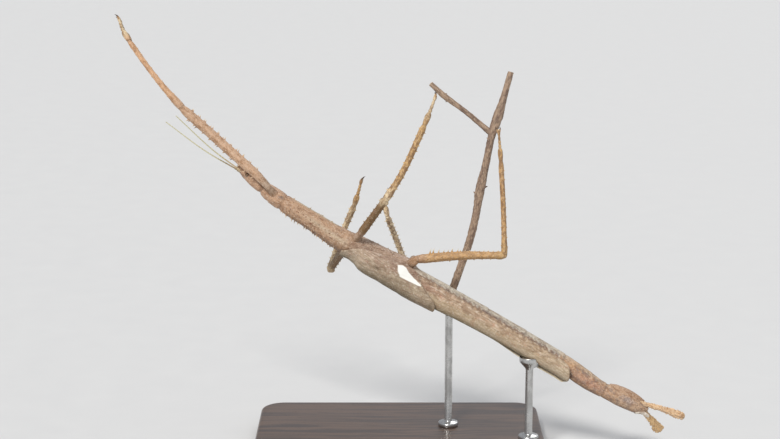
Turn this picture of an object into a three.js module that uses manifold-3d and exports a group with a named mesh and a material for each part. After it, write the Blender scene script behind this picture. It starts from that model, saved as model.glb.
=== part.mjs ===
// A large winged stick insect, life size, hanging under a forked twig on a plain display stand.
// Millimetres, +Z up. The origin is the middle of the underside of the stand's base, X runs from
// the feelers to the tail, and Y runs away from the side that the insect shows, which is its right.
import * as THREE from 'three';
import { mergeVertices } from 'three/addons/utils/BufferGeometryUtils.js';
import Module from 'manifold-3d';

const wasm = await Module();
wasm.setup();

// ---- driving dimensions --------------------------------------------------------------------

const GAP = 0.3; // between neighbouring solids
const SINK = 0.25; // how deep a spine's foot is set into what it grows from
const QUARTER = Math.PI / 2;
const DEGREE = Math.PI / 180;

// The body's middle line, from the front of the head to the end of the abdomen.
const BODY_LINE = [
  [-65.5, 8.5, 119.1],
  [-55.7, 6.7, 110.6],
  [-47.7, 5.5, 104.8],
  [-35.5, 3.9, 97.3],
  [-22.2, 2.1, 88.5],
  [-9.7, 0.6, 82.2],
  [2.6, -0.6, 76.3],
  [14.6, -2.0, 70.1],
  [41.7, -5.0, 55.0],
  [66.3, -8.1, 40.5],
  [81.2, -10.2, 30.9],
  [101.0, -12.1, 22.3],
];
const BACK_FACES = new THREE.Vector3(-0.5, -0.26, -0.83); // the way the insect's back is turned

// Stations along the body line, where its parts begin and end.
const NECK = 13.0;
const WAIST = 23.0; // between the prothorax and the mesothorax
const MIDDLE_COXA = 53.5; // between the mesothorax and the metathorax
const HIND_COXA = 82.0; // between the metathorax and the abdomen
const ABDOMEN_PARTS = [HIND_COXA, 100, 118, 136, 154.5, 175.4];
const TAIL = 194;

// Station, then how far the body reaches from its line to the back, to the belly and to each side.
const BODY = [
  [0.0, 1.1, 1.1, 1.3],
  [1.2, 1.8, 1.9, 2.1],
  [4.0, 2.4, 2.7, 2.8],
  [8.0, 2.8, 2.9, 3.0],
  [11.5, 2.7, 2.7, 2.8],
  [12.9, 2.3, 2.3, 2.4],
  [13.4, 2.6, 2.7, 2.7],
  [16.5, 3.3, 3.3, 3.2],
  [21.5, 3.5, 3.4, 3.3],
  [22.9, 3.1, 3.2, 3.1],
  [23.4, 3.3, 3.6, 3.3],
  [35.0, 3.8, 3.9, 3.6],
  [45.0, 4.1, 4.4, 4.1],
  [50.5, 4.2, 5.1, 4.8],
  [53.3, 4.3, 5.3, 4.8],
  [60.0, 3.7, 6.0, 4.5],
  [72.0, 3.9, 6.1, 4.6],
  [79.0, 4.0, 6.2, 4.9],
  [82.0, 4.0, 5.0, 4.5],
  [86.0, 4.0, 4.1, 4.1],
  [126.0, 3.8, 3.9, 3.9],
  [154.0, 3.7, 3.9, 3.7],
  [166.0, 3.6, 3.8, 3.5],
  [175.4, 3.1, 2.9, 3.1],
  [179.0, 3.3, 3.3, 3.5],
  [184.0, 3.7, 3.5, 3.9],
  [189.0, 3.7, 2.8, 3.4],
  [192.4, 2.9, 1.7, 2.5],
  [194.0, 2.1, 1.0, 1.8],
];

// Each hind wing lies along the abdomen, from the keel over the back round to the flank.
const WING_FRONT = 64;
const WING_END = 161;
const WING_THICK = 0.65;
const WING_KEEL = [ // station, height of the folded wings over the body line, flank edge in degrees
  [64, 5.5, 88],
  [70, 6.4, 108],
  [80, 7.4, 114],
  [92, 7.7, 112],
  [100, 7.4, 108],
  [108, 6.9, 107],
  [126, 6.3, 106],
  [148, 5.9, 102],
  [156, 5.5, 98],
  [159, 5.3, 86],
  [161, 5.1, 60],
];
const MID_SLIT = 2.6; // degrees that each wing stops short of the middle of the back

// Each forewing is a short humped shield over the root of the hind wing.
const SHIELD_THICK = 1.0;
const SHIELD = [ // station, height over the body line at the back, flank edge in degrees
  [54, 5.5, 50],
  [57, 5.3, 78],
  [60, 5.8, 94],
  [63, 7.2, 102],
  [70, 7.8, 110],
  [80, 8.7, 117],
  [84, 9.1, 112],
  [88, 9.2, 84],
  [92, 9.1, 63],
  [95, 8.9, 53],
  [97.2, 8.6, 42],
  [98.4, 8.1, 22],
];

const EYE = { station: 4.6, angle: 78, radius: 1.15, stands: 0.35 };
const SPINE = { tall: 1.15, wide: 0.48 };
const TOOTH = { tall: 0.8, wide: 0.42 };
const BODY_SPINES = { // angles round the body in degrees from the middle of the back, and how many in a row
  mesothorax: { rows: [-145, -80, -22, 22, 80, 145], count: 6 },
  metathorax: { rows: [-162, -142, 142, 162], count: 4 },
};
const JAWS = { height: 0.9, width: 1.5, rootStation: 2.8, rootDepth: 1.6, tipDepth: 2.6, forward: 1.6 };
const PALP = { radius: 0.34, depth: 1.9, apart: 1.0, long: 3.0, splay: 0.5 };
const FEELER_ROOT = 1.0; // radius of the socket that a feeler stands in
const CLAW = { reach: 1.6, splay: 0.6, tipReach: 0.7, drop: 0.9, thick: [0.42, 0.34, 0.14] };

// Each leg by its joints. bend points lie between two joints.
const LEGS = {
  fore_right: {
    kind: 'fore',
    hip: [-50.0, 4.2, 107.2],
    thigh: [-53.3, 1.6, 111.6],
    femurBends: [[-58.6, 2.6, 117.0], [-62.7, 3.7, 120.6], [-69.3, 6.1, 126.2], [-75.5, 8.2, 131.4]],
    knee: [-89.0, 11.0, 143.1],
    tibiaBends: [[-97.6, 13.3, 152.6], [-104.6, 15.2, 161.4]],
    ankle: [-110.7, 17.2, 169.8],
    footBends: [[-113.5, 18.4, 174.6]],
    toe: [-115.0, 19.4, 179.0],
    keel: [0.6, 0.1, 0.75],
  },
  fore_left: {
    kind: 'fore',
    hip: [-50.0, 8.2, 106.2],
    thigh: [-53.5, 11.7, 109.4],
    femurBends: [[-58.8, 12.7, 115.0], [-62.9, 13.4, 118.5], [-69.7, 12.8, 124.7], [-75.7, 12.9, 130.4]],
    knee: [-89.1, 15.7, 142.0],
    tibiaBends: [[-97.8, 17.7, 151.6], [-104.7, 19.3, 160.5]],
    ankle: [-110.6, 21.0, 168.8],
    footBends: [[-113.4, 22.0, 173.6]],
    toe: [-115.0, 23.0, 177.6],
    keel: [0.6, 0.1, 0.75],
  },
  middle_right: {
    kind: 'middle',
    hip: [-19.6, 0.4, 89.4],
    thigh: [-16.2, -3.6, 93.4],
    femurBends: [],
    knee: [-5.8, -15.9, 110.2],
    tibiaBends: [[0.8, -9.6, 119.7]],
    ankle: [9.8, 3.1, 136.9],
    footBends: [[12.9, 8.3, 143.7]],
    toe: [14.6, 11.0, 148.0],
    keel: [0.75, -0.2, -0.5],
  },
  middle_left: {
    kind: 'middle',
    hip: [-22.2, 3.6, 87.6],
    thigh: [-21.6, 8.4, 86.8],
    femurBends: [],
    knee: [-29.6, 28.9, 70.7],
    tibiaBends: [[-25.0, 24.4, 85.4]],
    ankle: [-19.0, 16.9, 101.0],
    footBends: [[-17.2, 15.0, 107.0]],
    toe: [-15.8, 14.0, 112.5],
    keel: [-0.75, 0.2, 0.5],
  },
  hind_right: {
    kind: 'hind',
    hip: [3.0, -2.2, 79.6],
    thigh: [7.0, -5.2, 83.4],
    femurBends: [[24.5, -5.6, 85.0]],
    knee: [42.5, -5.9, 85.2],
    tibiaBends: [[42.1, -1.6, 103.1]],
    ankle: [41.2, 4.0, 121.9],
    footBends: [[40.7, 6.4, 129.3]],
    toe: [40.3, 7.6, 134.0],
    keel: [0, -0.2, 1],
  },
  hind_left: {
    kind: 'hind',
    hip: [2.8, 2.0, 78.6],
    thigh: [5.8, 6.8, 80.8],
    femurBends: [[5.6, 18.0, 76.4]],
    knee: [4.4, 36.2, 66.5],
    tibiaBends: [[-0.3, 26.1, 81.8]],
    ankle: [-5.0, 15.0, 96.7],
    footBends: [[-5.9, 15.1, 102.2]],
    toe: [-4.4, 15.1, 106.9],
    keel: [0, -0.2, 1],
  },
};

// Half thickness of a leg along each of its parts, as share of length then millimetres.
const LEG_SIZES = {
  fore: {
    coxa: 1.7,
    femur: [[0, 1.2], [0.12, 1.45], [0.35, 1.85], [0.8, 1.85], [0.95, 1.75], [1, 1.2]],
    tibia: [[0, 1.2], [0.08, 1.65], [0.3, 1.35], [0.7, 1.0], [0.95, 0.9], [1, 0.7]],
    foot: 0.95,
  },
  middle: {
    coxa: 1.9,
    femur: [[0, 1.3], [0.1, 1.65], [0.6, 1.5], [0.9, 1.45], [0.96, 1.6], [1, 1.1]],
    tibia: [[0, 1.2], [0.08, 1.45], [0.3, 1.4], [0.7, 1.35], [0.95, 1.2], [1, 0.9]],
    foot: 1.0,
  },
  hind: {
    coxa: 2.0,
    femur: [[0, 1.4], [0.08, 1.8], [0.5, 1.8], [0.9, 1.6], [0.97, 1.6], [1, 1.1]],
    tibia: [[0, 1.2], [0.08, 1.4], [0.5, 1.3], [0.92, 1.2], [1, 0.9]],
    foot: 0.95,
  },
};
const LEG_SQUEEZE = 0.86; // a leg's width as a share of its height

// Places along a part, as share of length, of its teeth on the keel and of those opposite.
const LEG_TEETH = {
  fore: { femur: [0.22, 0.9, 9], tibia: null },
  middle: { femur: [0.3, 0.85, 3], tibia: [0.15, 0.9, 5] },
  hind: { femur: [0.12, 0.9, 6], tibia: [0.14, 0.9, 5] },
};

const FEELERS = {
  right: [[-65.4, 7.0, 118.0], [-76.6, 8.2, 126.3], [-91.4, 9.9, 140.0]],
  left: [[-65.8, 9.6, 117.2], [-80.2, 11.5, 125.4], [-96.2, 15.3, 136.6]],
};
const FEELER_THICK = [0.5, 0.42, 0.34, 0.28];

const TAIL_PADDLES = {
  right: { line: [[97.4, -12.9, 25.2], [107.2, -14.1, 22.7], [116.1, -15.7, 19.8]], flat: [0.2, -0.2, 1] },
  left: { line: [[100.0, -10.2, 20.6], [104.6, -5.5, 14.7], [108.9, 0.3, 8.4]], flat: [0.8, -0.2, 0.6] },
};
const PADDLE_SIZES = [ // share of length, half height, half width
  [0, 1.0, 0.8],
  [0.2, 1.2, 0.75],
  [0.45, 1.45, 0.6],
  [0.7, 1.65, 0.55],
  [0.88, 1.8, 0.55],
  [1, 0.9, 0.4],
];

const TAIL_PLATE_THICK = 0.7;
const TAIL_PLATE = [ // station, then its two edges in degrees from the middle of the back
  [177, 150, 210],
  [179, 122, 238],
  [184, 112, 248],
  [188, 120, 240],
  [191.5, 140, 220],
];

const STEM_LINE = [
  [45.5, 15.6, 157.3],
  [41.1, 12.8, 142.0],
  [37.8, 11.2, 131.9],
  [35.5, 10.8, 120.3],
  [33.1, 10.4, 109.1],
  [31.5, 10.3, 98.6],
  [29.1, 10.1, 88.0],
  [25.5, 10.3, 76.9],
  [20.2, 9.1, 61.8],
];
const STEM_THICK = [1.25, 1.4, 2.1, 1.5, 1.55, 2.0, 1.6, 1.65, 1.6, 1.65, 1.65];
const BRANCH_LINE = [[37.8, 11.3, 132.3], [27.1, 12.7, 141.2], [17.7, 13.6, 148.1], [12.8, 14.6, 152.5]];
const BRANCH_THICK = [1.3, 1.1, 1.05, 1.25, 1.0];

const BASE = { long: 120, deep: 84, thick: 8, corner: 10 };
const ROD = { radius: 1.6, sleeve: 2.7, sleeveTall: 9, foot: 4.2, footTall: 1.6 };
const STEM_ROD_AT = [20.6, 9.2]; // X and Y of the rod under the twig
const STEM_ROD_TOP = 65.4;
const BODY_ROD_STATION = 143; // where the second rod meets the folded wings
const CRADLE = { radius: 4.2, tall: 5, overKeel: 1.6 }; // the cup on its top end

// ---- making and joining solids ---------------------------------------------------------------

const vector = (xyz) => new THREE.Vector3(...xyz);
const curveThrough = (points) => new THREE.CatmullRomCurve3(points.map(vector), false, 'centripetal');

/** The value of a table at x: each row is [x, a, b, ...], and values run smoothly between rows. */
function tableAt(table, x) {
  const last = table.length - 1;
  if (x <= table[0][0]) return table[0].slice(1);
  if (x >= table[last][0]) return table[last].slice(1);
  const i = table.findIndex((row) => row[0] > x) - 1;
  const share = THREE.MathUtils.smoothstep(x, table[i][0], table[i + 1][0]);
  const mixed = (x - table[i][0]) / (table[i + 1][0] - table[i][0]);
  const step = 0.5 * (share + mixed);
  return table[i].slice(1).map((value, k) => THREE.MathUtils.lerp(value, table[i + 1][k + 1], step));
}

/** A geometry of only its corners, each shared by the faces round it. */
function bare(geometry) {
  geometry.deleteAttribute('normal');
  geometry.deleteAttribute('uv');
  return mergeVertices(geometry, 1e-5);
}

function solid(geometry) {
  const vertProperties = new Float32Array(geometry.attributes.position.array);
  const triVerts = new Uint32Array(geometry.index.array);
  return new wasm.Manifold(new wasm.Mesh({ numProp: 3, vertProperties, triVerts }));
}

/** Moves each corner of a geometry to place(corner), which gives the new corner. */
function shape(geometry, place) {
  const form = bare(geometry);
  const { position } = form.attributes;
  const corner = new THREE.Vector3();
  for (let i = 0; i < position.count; i++) {
    corner.fromBufferAttribute(position, i);
    position.setXYZ(i, ...place(corner).toArray());
  }
  return solid(form);
}

/** The middle line's point and axes at a share of its length: along it, to its top and to its side. */
function axesAt(curve, share, topWay) {
  const t = THREE.MathUtils.clamp(share, 0, 1);
  const origin = curve.getPointAt(t);
  const along = curve.getTangentAt(t);
  const top = topWay.clone().addScaledVector(along, -topWay.dot(along)).normalize();
  const side = new THREE.Vector3().crossVectors(top, along);
  return { origin, along, top, side };
}

function off(axes, angle, distance) {
  return axes.origin.clone()
    .addScaledVector(axes.top, distance * Math.cos(angle))
    .addScaledVector(axes.side, distance * Math.sin(angle));
}

/** A closed tube along a curve, with a ring at each share, reaching radius(share, angle) from it. */
function tube(curve, topWay, shares, sides, radius) {
  const rings = shares.length - 1;
  const axes = shares.map((share) => axesAt(curve, share, topWay));
  return shape(new THREE.CylinderGeometry(1, 1, 1, sides, rings), (corner) => {
    const ring = Math.round((corner.y + 0.5) * rings);
    const angle = Math.atan2(corner.z, corner.x);
    const reach = Math.hypot(corner.x, corner.z) * radius(shares[ring], angle);
    return off(axes[ring], angle, reach);
  });
}

function round(height, width) {
  return (angle) => 1 / Math.hypot(Math.cos(angle) / height, Math.sin(angle) / width);
}

/** A pointed spine of three sides that stands on a point of a surface. */
function spine(foot, way, tall, wide) {
  const geometry = new THREE.ConeGeometry(wide, tall + SINK, 3);
  geometry.translate(0, (tall + SINK) / 2 - SINK, 0);
  geometry.applyQuaternion(new THREE.Quaternion().setFromUnitVectors(new THREE.Vector3(0, 1, 0), way));
  geometry.translate(...foot.toArray());
  return solid(bare(geometry));
}

function join(solids) {
  return wasm.Manifold.union(solids);
}

/** The biggest piece of a solid that has been cut. */
function biggest(whole) {
  return whole.decompose().reduce((best, piece) => (piece.volume() > best.volume() ? piece : best));
}

function cut(whole, cutters) {
  return biggest(cutters.reduce((left, cutter) => left.subtract(cutter), whole));
}

// ---- finishes ----------------------------------------------------------------------------------

const finish = (color, roughness, metalness = 0) => (
  new THREE.MeshStandardMaterial({ color, roughness, metalness })
);
const FINISHES = {
  body: finish(0xb99a80, 0.62),
  leg: finish(0xc09468, 0.6),
  wing: finish(0xa99a80, 0.66),
  eye: finish(0x5a4430, 0.25),
  feeler: finish(0xc9b490, 0.6),
  bark: finish(0x7a675e, 0.85),
  stand: finish(0x2c2a28, 0.5),
  steel: finish(0xb8b8b6, 0.35, 1),
};

const insect = new THREE.Group();

function add(name, whole, material) {
  const { vertProperties, triVerts } = whole.getMesh();
  const geometry = new THREE.BufferGeometry();
  geometry.setAttribute('position', new THREE.BufferAttribute(vertProperties, 3));
  geometry.setIndex(new THREE.BufferAttribute(triVerts, 1));
  geometry.computeVertexNormals();
  const mesh = new THREE.Mesh(geometry, material);
  mesh.name = name;
  insect.add(mesh);
}

// ---- body --------------------------------------------------------------------------------------

const BODY_CURVE = curveThrough(BODY_LINE);
const BODY_LENGTH = BODY_CURVE.getLength();

function bodyReach(station, angle) {
  const [back, belly, side] = tableAt(BODY, station);
  return round(Math.cos(angle) > 0 ? back : belly, side)(angle);
}

function bodyAxes(station) {
  return axesAt(BODY_CURVE, station / BODY_LENGTH, BACK_FACES);
}

/** A length of the body from one station to another, grown by a margin where it serves as a cutter. */
function bodyLength(from, to, step, sides, margin = 0) {
  const count = Math.max(1, Math.round((to - from) / step));
  const shares = Array.from({ length: count + 1 }, (_, i) => (
    THREE.MathUtils.lerp(from, to, i / count) / BODY_LENGTH
  ));
  return tube(BODY_CURVE, BACK_FACES, shares, sides, (share, angle) => (
    bodyReach(share * BODY_LENGTH, angle) + margin
  ));
}

function bodySpine(station, angle, tall) {
  const axes = bodyAxes(station);
  const foot = off(axes, angle, bodyReach(station, angle));
  const way = foot.clone().sub(axes.origin).normalize().addScaledVector(axes.along, -0.25).normalize();
  return spine(foot, way, tall, SPINE.wide);
}

/** Spines in lengthwise rows, staggered from row to row. */
function bodySpines(from, to, { rows, count }) {
  const spines = [];
  rows.forEach((degrees, row) => {
    for (let i = 0; i < count; i++) {
      const stagger = (row % 2) * 0.5 + 0.17 * Math.sin(3.1 * i + row);
      const station = THREE.MathUtils.lerp(from, to, (i + 0.3 + stagger) / (count + 0.4));
      const tall = SPINE.tall * (0.75 + 0.25 * Math.cos(2.3 * i + row));
      spines.push(bodySpine(station, degrees * DEGREE, tall));
    }
  });
  return spines;
}

function eyeCentre(side) {
  const axes = bodyAxes(EYE.station);
  const angle = side * EYE.angle * DEGREE;
  return off(axes, angle, bodyReach(EYE.station, angle) - EYE.radius + EYE.stands);
}

function ball(centre, radius, around, up) {
  const geometry = new THREE.SphereGeometry(radius, around, up);
  geometry.translate(...centre.toArray());
  return solid(bare(geometry));
}

const eyes = { right: eyeCentre(1), left: eyeCentre(-1) };
const feelerRoots = Object.values(FEELERS).map(([root]) => ball(vector(root), FEELER_ROOT, 6, 5));
const eyeSockets = Object.values(eyes).map((centre) => ball(centre, EYE.radius + GAP, 10, 6));

const mouthAxes = bodyAxes(0.2);
const mouthLine = new THREE.LineCurve3(
  off(bodyAxes(JAWS.rootStation), Math.PI, JAWS.rootDepth),
  off(mouthAxes, Math.PI, JAWS.tipDepth).addScaledVector(mouthAxes.along, -JAWS.forward),
);
const jaws = tube(mouthLine, BACK_FACES, [0, 0.4, 0.8, 1], 8, (share, angle) => (
  round(JAWS.height, JAWS.width)(angle) * (share < 1 ? 1 : 0.55)
));
const palps = [-1, 1].map((side) => {
  const root = off(mouthAxes, Math.PI, PALP.depth).addScaledVector(mouthAxes.side, side * PALP.apart);
  const tip = root.clone()
    .addScaledVector(mouthAxes.along, -PALP.long)
    .addScaledVector(mouthAxes.side, side * PALP.splay);
  return tube(new THREE.LineCurve3(root, tip), BACK_FACES, [0, 0.5, 1], 5, () => PALP.radius);
});
const mouth = join([jaws, ...palps]);

const headSolid = bodyLength(0, NECK - GAP / 2, 1.6, 12);
add('head', cut(headSolid, [...eyeSockets, ...feelerRoots]), FINISHES.body);
add('mouthparts', cut(mouth, [bodyLength(0, NECK, 1.3, 14, GAP)]), FINISHES.body);
for (const [side, centre] of Object.entries(eyes)) {
  add(`eye_${side}`, ball(centre, EYE.radius, 10, 7), FINISHES.eye);
}

for (const [side, points] of Object.entries(FEELERS)) {
  const line = curveThrough(points);
  const shares = Array.from({ length: 8 }, (_, i) => i / 7);
  const last = FEELER_THICK.length - 1;
  const table = FEELER_THICK.map((thick, i) => [i / last, thick]);
  const feeler = tube(line, BACK_FACES, shares, 5, (share) => tableAt(table, share)[0]);
  add(`feeler_${side}`, feeler, FINISHES.feeler);
}

// ---- legs --------------------------------------------------------------------------------------

/** A leg part between two joints, with its table of half thickness grown by a margin. */
function legPart(points, keel, table, sides, margin = 0) {
  const shares = table.map(([share]) => share);
  return tube(curveThrough(points), vector(keel), shares, sides, (share, angle) => {
    const [half] = tableAt(table, share);
    return round(half + margin, LEG_SQUEEZE * half + margin)(angle);
  });
}

function legTeeth(points, keel, table, [from, to, count]) {
  const curve = curveThrough(points);
  const teeth = [];
  for (const side of [0, Math.PI]) {
    for (let i = 0; i < count; i++) {
      const share = THREE.MathUtils.lerp(from, to, (i + (side ? 0.5 : 0.1)) / count);
      const axes = axesAt(curve, share, vector(keel));
      const foot = off(axes, side, tableAt(table, share)[0]);
      const way = foot.clone().sub(axes.origin).normalize().addScaledVector(axes.along, 0.3).normalize();
      teeth.push(spine(foot, way, TOOTH.tall * (1 + 0.25 * Math.cos(2.7 * i)), TOOTH.wide));
    }
  }
  return teeth;
}

/** The five beads of a foot, as share of its length then share of its thickness. */
const FOOT_BEADS = [
  [0, 0.8],
  [0.4, 1],
  [0.45, 0.7],
  [0.52, 0.9],
  [0.57, 0.65],
  [0.65, 0.8],
  [0.7, 0.6],
  [0.94, 0.85],
  [1, 0.6],
];

function claws(points, keel, thick) {
  const axes = axesAt(curveThrough(points), 1, vector(keel));
  return [-1, 1].map((side) => {
    const root = axes.origin.clone()
      .addScaledVector(axes.along, -2 * SINK)
      .addScaledVector(axes.side, side * GAP);
    const middle = root.clone()
      .addScaledVector(axes.along, CLAW.reach)
      .addScaledVector(axes.side, side * CLAW.splay);
    const tip = middle.clone()
      .addScaledVector(axes.along, CLAW.tipReach)
      .addScaledVector(axes.top, -CLAW.drop);
    const hook = new THREE.QuadraticBezierCurve3(root, middle, tip);
    return tube(hook, axes.top, [0, 0.5, 1], 4, (share) => CLAW.thick[Math.round(2 * share)] * thick);
  });
}

const stemCurve = curveThrough(STEM_LINE);
const branchCurve = curveThrough(BRANCH_LINE);

function twig(curve, thick, sides, margin = 0) {
  const last = thick.length - 1;
  const shares = thick.map((_, i) => i / last);
  const radius = (share) => thick[Math.round(share * last)] + margin;
  return tube(curve, new THREE.Vector3(1, 0, 0), shares, sides, radius);
}

const perchCutters = [twig(stemCurve, STEM_THICK, 8, GAP), twig(branchCurve, BRANCH_THICK, 7, GAP)];
const bodyCutter = bodyLength(0, HIND_COXA + 12, 3, 12, GAP);

const bodyCoxaCutters = [];
for (const [name, leg] of Object.entries(LEGS)) {
  const sizes = LEG_SIZES[leg.kind];
  const teeth = LEG_TEETH[leg.kind];
  const coxaTable = [[0, sizes.coxa], [0.6, sizes.coxa], [1, 0.8 * sizes.coxa]];
  const footTable = FOOT_BEADS.map(([share, thick]) => [share, thick * sizes.foot]);
  const coxaPoints = [leg.hip, leg.thigh];
  const femurPoints = [leg.thigh, ...leg.femurBends, leg.knee];
  const tibiaPoints = [leg.knee, ...leg.tibiaBends, leg.ankle];
  const footPoints = [leg.ankle, ...leg.footBends, leg.toe];

  const coxa = legPart(coxaPoints, leg.keel, coxaTable, 7);
  const coxaCutter = legPart(coxaPoints, leg.keel, coxaTable, 7, GAP);
  const femur = [legPart(femurPoints, leg.keel, sizes.femur, 7)];
  const femurCutter = legPart(femurPoints, leg.keel, sizes.femur, 7, GAP);
  const tibia = [legPart(tibiaPoints, leg.keel, sizes.tibia, 6)];
  const tibiaCutter = legPart(tibiaPoints, leg.keel, sizes.tibia, 6, GAP);
  const foot = legPart(footPoints, leg.keel, footTable, 5);
  femur.push(...legTeeth(femurPoints, leg.keel, sizes.femur, teeth.femur));
  if (teeth.tibia) tibia.push(...legTeeth(tibiaPoints, leg.keel, sizes.tibia, teeth.tibia));

  add(`coxa_${name}`, cut(coxa, [bodyCutter]), FINISHES.leg);
  add(`femur_${name}`, cut(join(femur), [bodyCutter, coxaCutter]), FINISHES.leg);
  add(`tibia_${name}`, cut(join(tibia), [femurCutter]), FINISHES.leg);
  add(
    `tarsus_${name}`,
    cut(join([foot, ...claws(footPoints, leg.keel, sizes.foot)]), [tibiaCutter, ...perchCutters]),
    FINISHES.leg,
  );
  bodyCoxaCutters.push(coxaCutter);
}

// ---- thorax and abdomen ------------------------------------------------------------------------

const HALF = GAP / 2;

add('prothorax', bodyLength(NECK + HALF, WAIST - HALF, 1.6, 12), FINISHES.body);
add(
  'mesothorax',
  join([
    bodyLength(WAIST + HALF, MIDDLE_COXA - HALF, 4.5, 10),
    ...bodySpines(WAIST + 2, MIDDLE_COXA - 5, BODY_SPINES.mesothorax),
  ]),
  FINISHES.body,
);
add(
  'metathorax',
  join([
    bodyLength(MIDDLE_COXA + HALF, HIND_COXA - HALF, 4.5, 10),
    ...bodySpines(MIDDLE_COXA + 6, HIND_COXA - 6, BODY_SPINES.metathorax),
  ]),
  FINISHES.body,
);
const ABDOMEN_NAMES = ['abdomen_1', 'abdomen_2', 'abdomen_3', 'abdomen_4', 'abdomen_5'];
ABDOMEN_NAMES.forEach((name, i) => {
  add(name, bodyLength(ABDOMEN_PARTS[i] + HALF, ABDOMEN_PARTS[i + 1] - HALF, 6, 10), FINISHES.body);
});

// ---- shells: wings, forewings and the plate under the tail ---------------------------------------

/** A curved plate over the body. Each row is [station, from angle, to angle] in degrees. */
function shell(rows, across, inner, outer) {
  const last = rows.length - 1;
  return shape(new THREE.BoxGeometry(1, 1, 1, across, 1, last), (corner) => {
    const [station, from, to] = rows[Math.round((corner.z + 0.5) * last)];
    const angle = THREE.MathUtils.lerp(from, to, corner.x + 0.5) * DEGREE;
    const reach = (corner.y > 0 ? outer : inner)(station, angle);
    return off(bodyAxes(station), angle, reach);
  });
}

/** How far the folded hind wing's outer face lies from the body line. */
function wingReach(station, angle) {
  const [keel] = tableAt(WING_KEEL, station);
  const skin = bodyReach(station, angle) + GAP + WING_THICK;
  const peak = Math.max(0, keel - bodyReach(station, 0) - GAP - WING_THICK);
  return skin + peak * Math.max(0, Math.cos(angle)) ** 2;
}

/** Rows of a plate on one side of the back, every step along a table whose last column is its flank edge. */
function plateRows(table, from, to, step, side) {
  const count = Math.round((to - from) / step);
  return Array.from({ length: count + 1 }, (_, i) => {
    const station = THREE.MathUtils.lerp(from, to, i / count);
    const edge = tableAt(table, station).at(-1);
    return side > 0 ? [station, MID_SLIT, edge] : [station, -edge, -MID_SLIT];
  });
}

for (const [name, side] of [['right', 1], ['left', -1]]) {
  add(
    `hind_wing_${name}`,
    shell(
      plateRows(WING_KEEL, WING_FRONT, WING_END, 9, side),
      5,
      (station, angle) => bodyReach(station, angle) + GAP,
      wingReach,
    ),
    FINISHES.wing,
  );
  const shieldInner = (station, angle) => {
    const under = station < WING_FRONT - 2 ? bodyReach(station, angle) : wingReach(station, angle);
    const [height] = tableAt(SHIELD, station);
    const lift = Math.max(0, height - SHIELD_THICK - under - GAP);
    return under + GAP + lift * Math.max(0, Math.cos(angle)) ** 2;
  };
  add(
    `forewing_${name}`,
    shell(
      SHIELD.map(([station, , edge]) => (
        side > 0 ? [station, MID_SLIT, edge] : [station, -edge, -MID_SLIT]
      )),
      5,
      shieldInner,
      (station, angle) => shieldInner(station, angle) + SHIELD_THICK,
    ),
    FINISHES.wing,
  );
}

const paddles = Object.entries(TAIL_PADDLES).map(([side, { line, flat }]) => {
  const make = (margin) => tube(
    curveThrough(line),
    vector(flat),
    PADDLE_SIZES.map(([share]) => share),
    8,
    (share, angle) => {
      const [height, width] = tableAt(PADDLE_SIZES, share);
      return round(height + margin, width + margin)(angle);
    },
  );
  add(`tail_paddle_${side}`, make(0), FINISHES.leg);
  return make(GAP);
});
add(
  'tail_plate',
  cut(
    shell(
      TAIL_PLATE,
      6,
      (station, angle) => bodyReach(station, angle) + GAP,
      (station, angle) => bodyReach(station, angle) + GAP + TAIL_PLATE_THICK,
    ),
    paddles,
  ),
  FINISHES.body,
);
add(
  'abdomen_tip',
  cut(bodyLength(ABDOMEN_PARTS.at(-1) + HALF, TAIL, 2.6, 10), paddles),
  FINISHES.body,
);

// ---- perch and stand -----------------------------------------------------------------------------

add('perch_stem', twig(stemCurve, STEM_THICK, 7), FINISHES.bark);
add('perch_branch', cut(twig(branchCurve, BRANCH_THICK, 7), [perchCutters[0]]), FINISHES.bark);

function post(x, y, stops) {
  const profile = stops.map(([radius, height]) => new THREE.Vector2(radius, height));
  const geometry = new THREE.LatheGeometry(profile, 14);
  geometry.rotateX(QUARTER);
  geometry.translate(x, y, 0);
  return solid(bare(geometry));
}

const outline = new THREE.Shape();
const halfLong = BASE.long / 2;
const halfDeep = BASE.deep / 2;
outline.moveTo(-halfLong + BASE.corner, -halfDeep);
outline.lineTo(halfLong - BASE.corner, -halfDeep);
outline.absarc(halfLong - BASE.corner, -halfDeep + BASE.corner, BASE.corner, -QUARTER, 0);
outline.absarc(halfLong - BASE.corner, halfDeep - BASE.corner, BASE.corner, 0, QUARTER);
outline.absarc(-halfLong + BASE.corner, halfDeep - BASE.corner, BASE.corner, QUARTER, 2 * QUARTER);
outline.absarc(-halfLong + BASE.corner, -halfDeep + BASE.corner, BASE.corner, 2 * QUARTER, 3 * QUARTER);
const plate = new THREE.ExtrudeGeometry(outline, {
  depth: BASE.thick,
  bevelEnabled: false,
  curveSegments: 5,
});
add('stand_base', solid(bare(plate)), FINISHES.stand);

const footTop = BASE.thick + GAP;
add(
  'stand_rod_twig',
  cut(
    post(...STEM_ROD_AT, [
      [0, footTop],
      [ROD.foot, footTop],
      [ROD.foot, footTop + ROD.footTall],
      [ROD.radius, footTop + ROD.footTall],
      [ROD.radius, STEM_ROD_TOP - ROD.sleeveTall],
      [ROD.sleeve, STEM_ROD_TOP - ROD.sleeveTall],
      [ROD.sleeve, STEM_ROD_TOP],
      [0, STEM_ROD_TOP],
    ]),
    [perchCutters[0]],
  ),
  FINISHES.steel,
);

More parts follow.
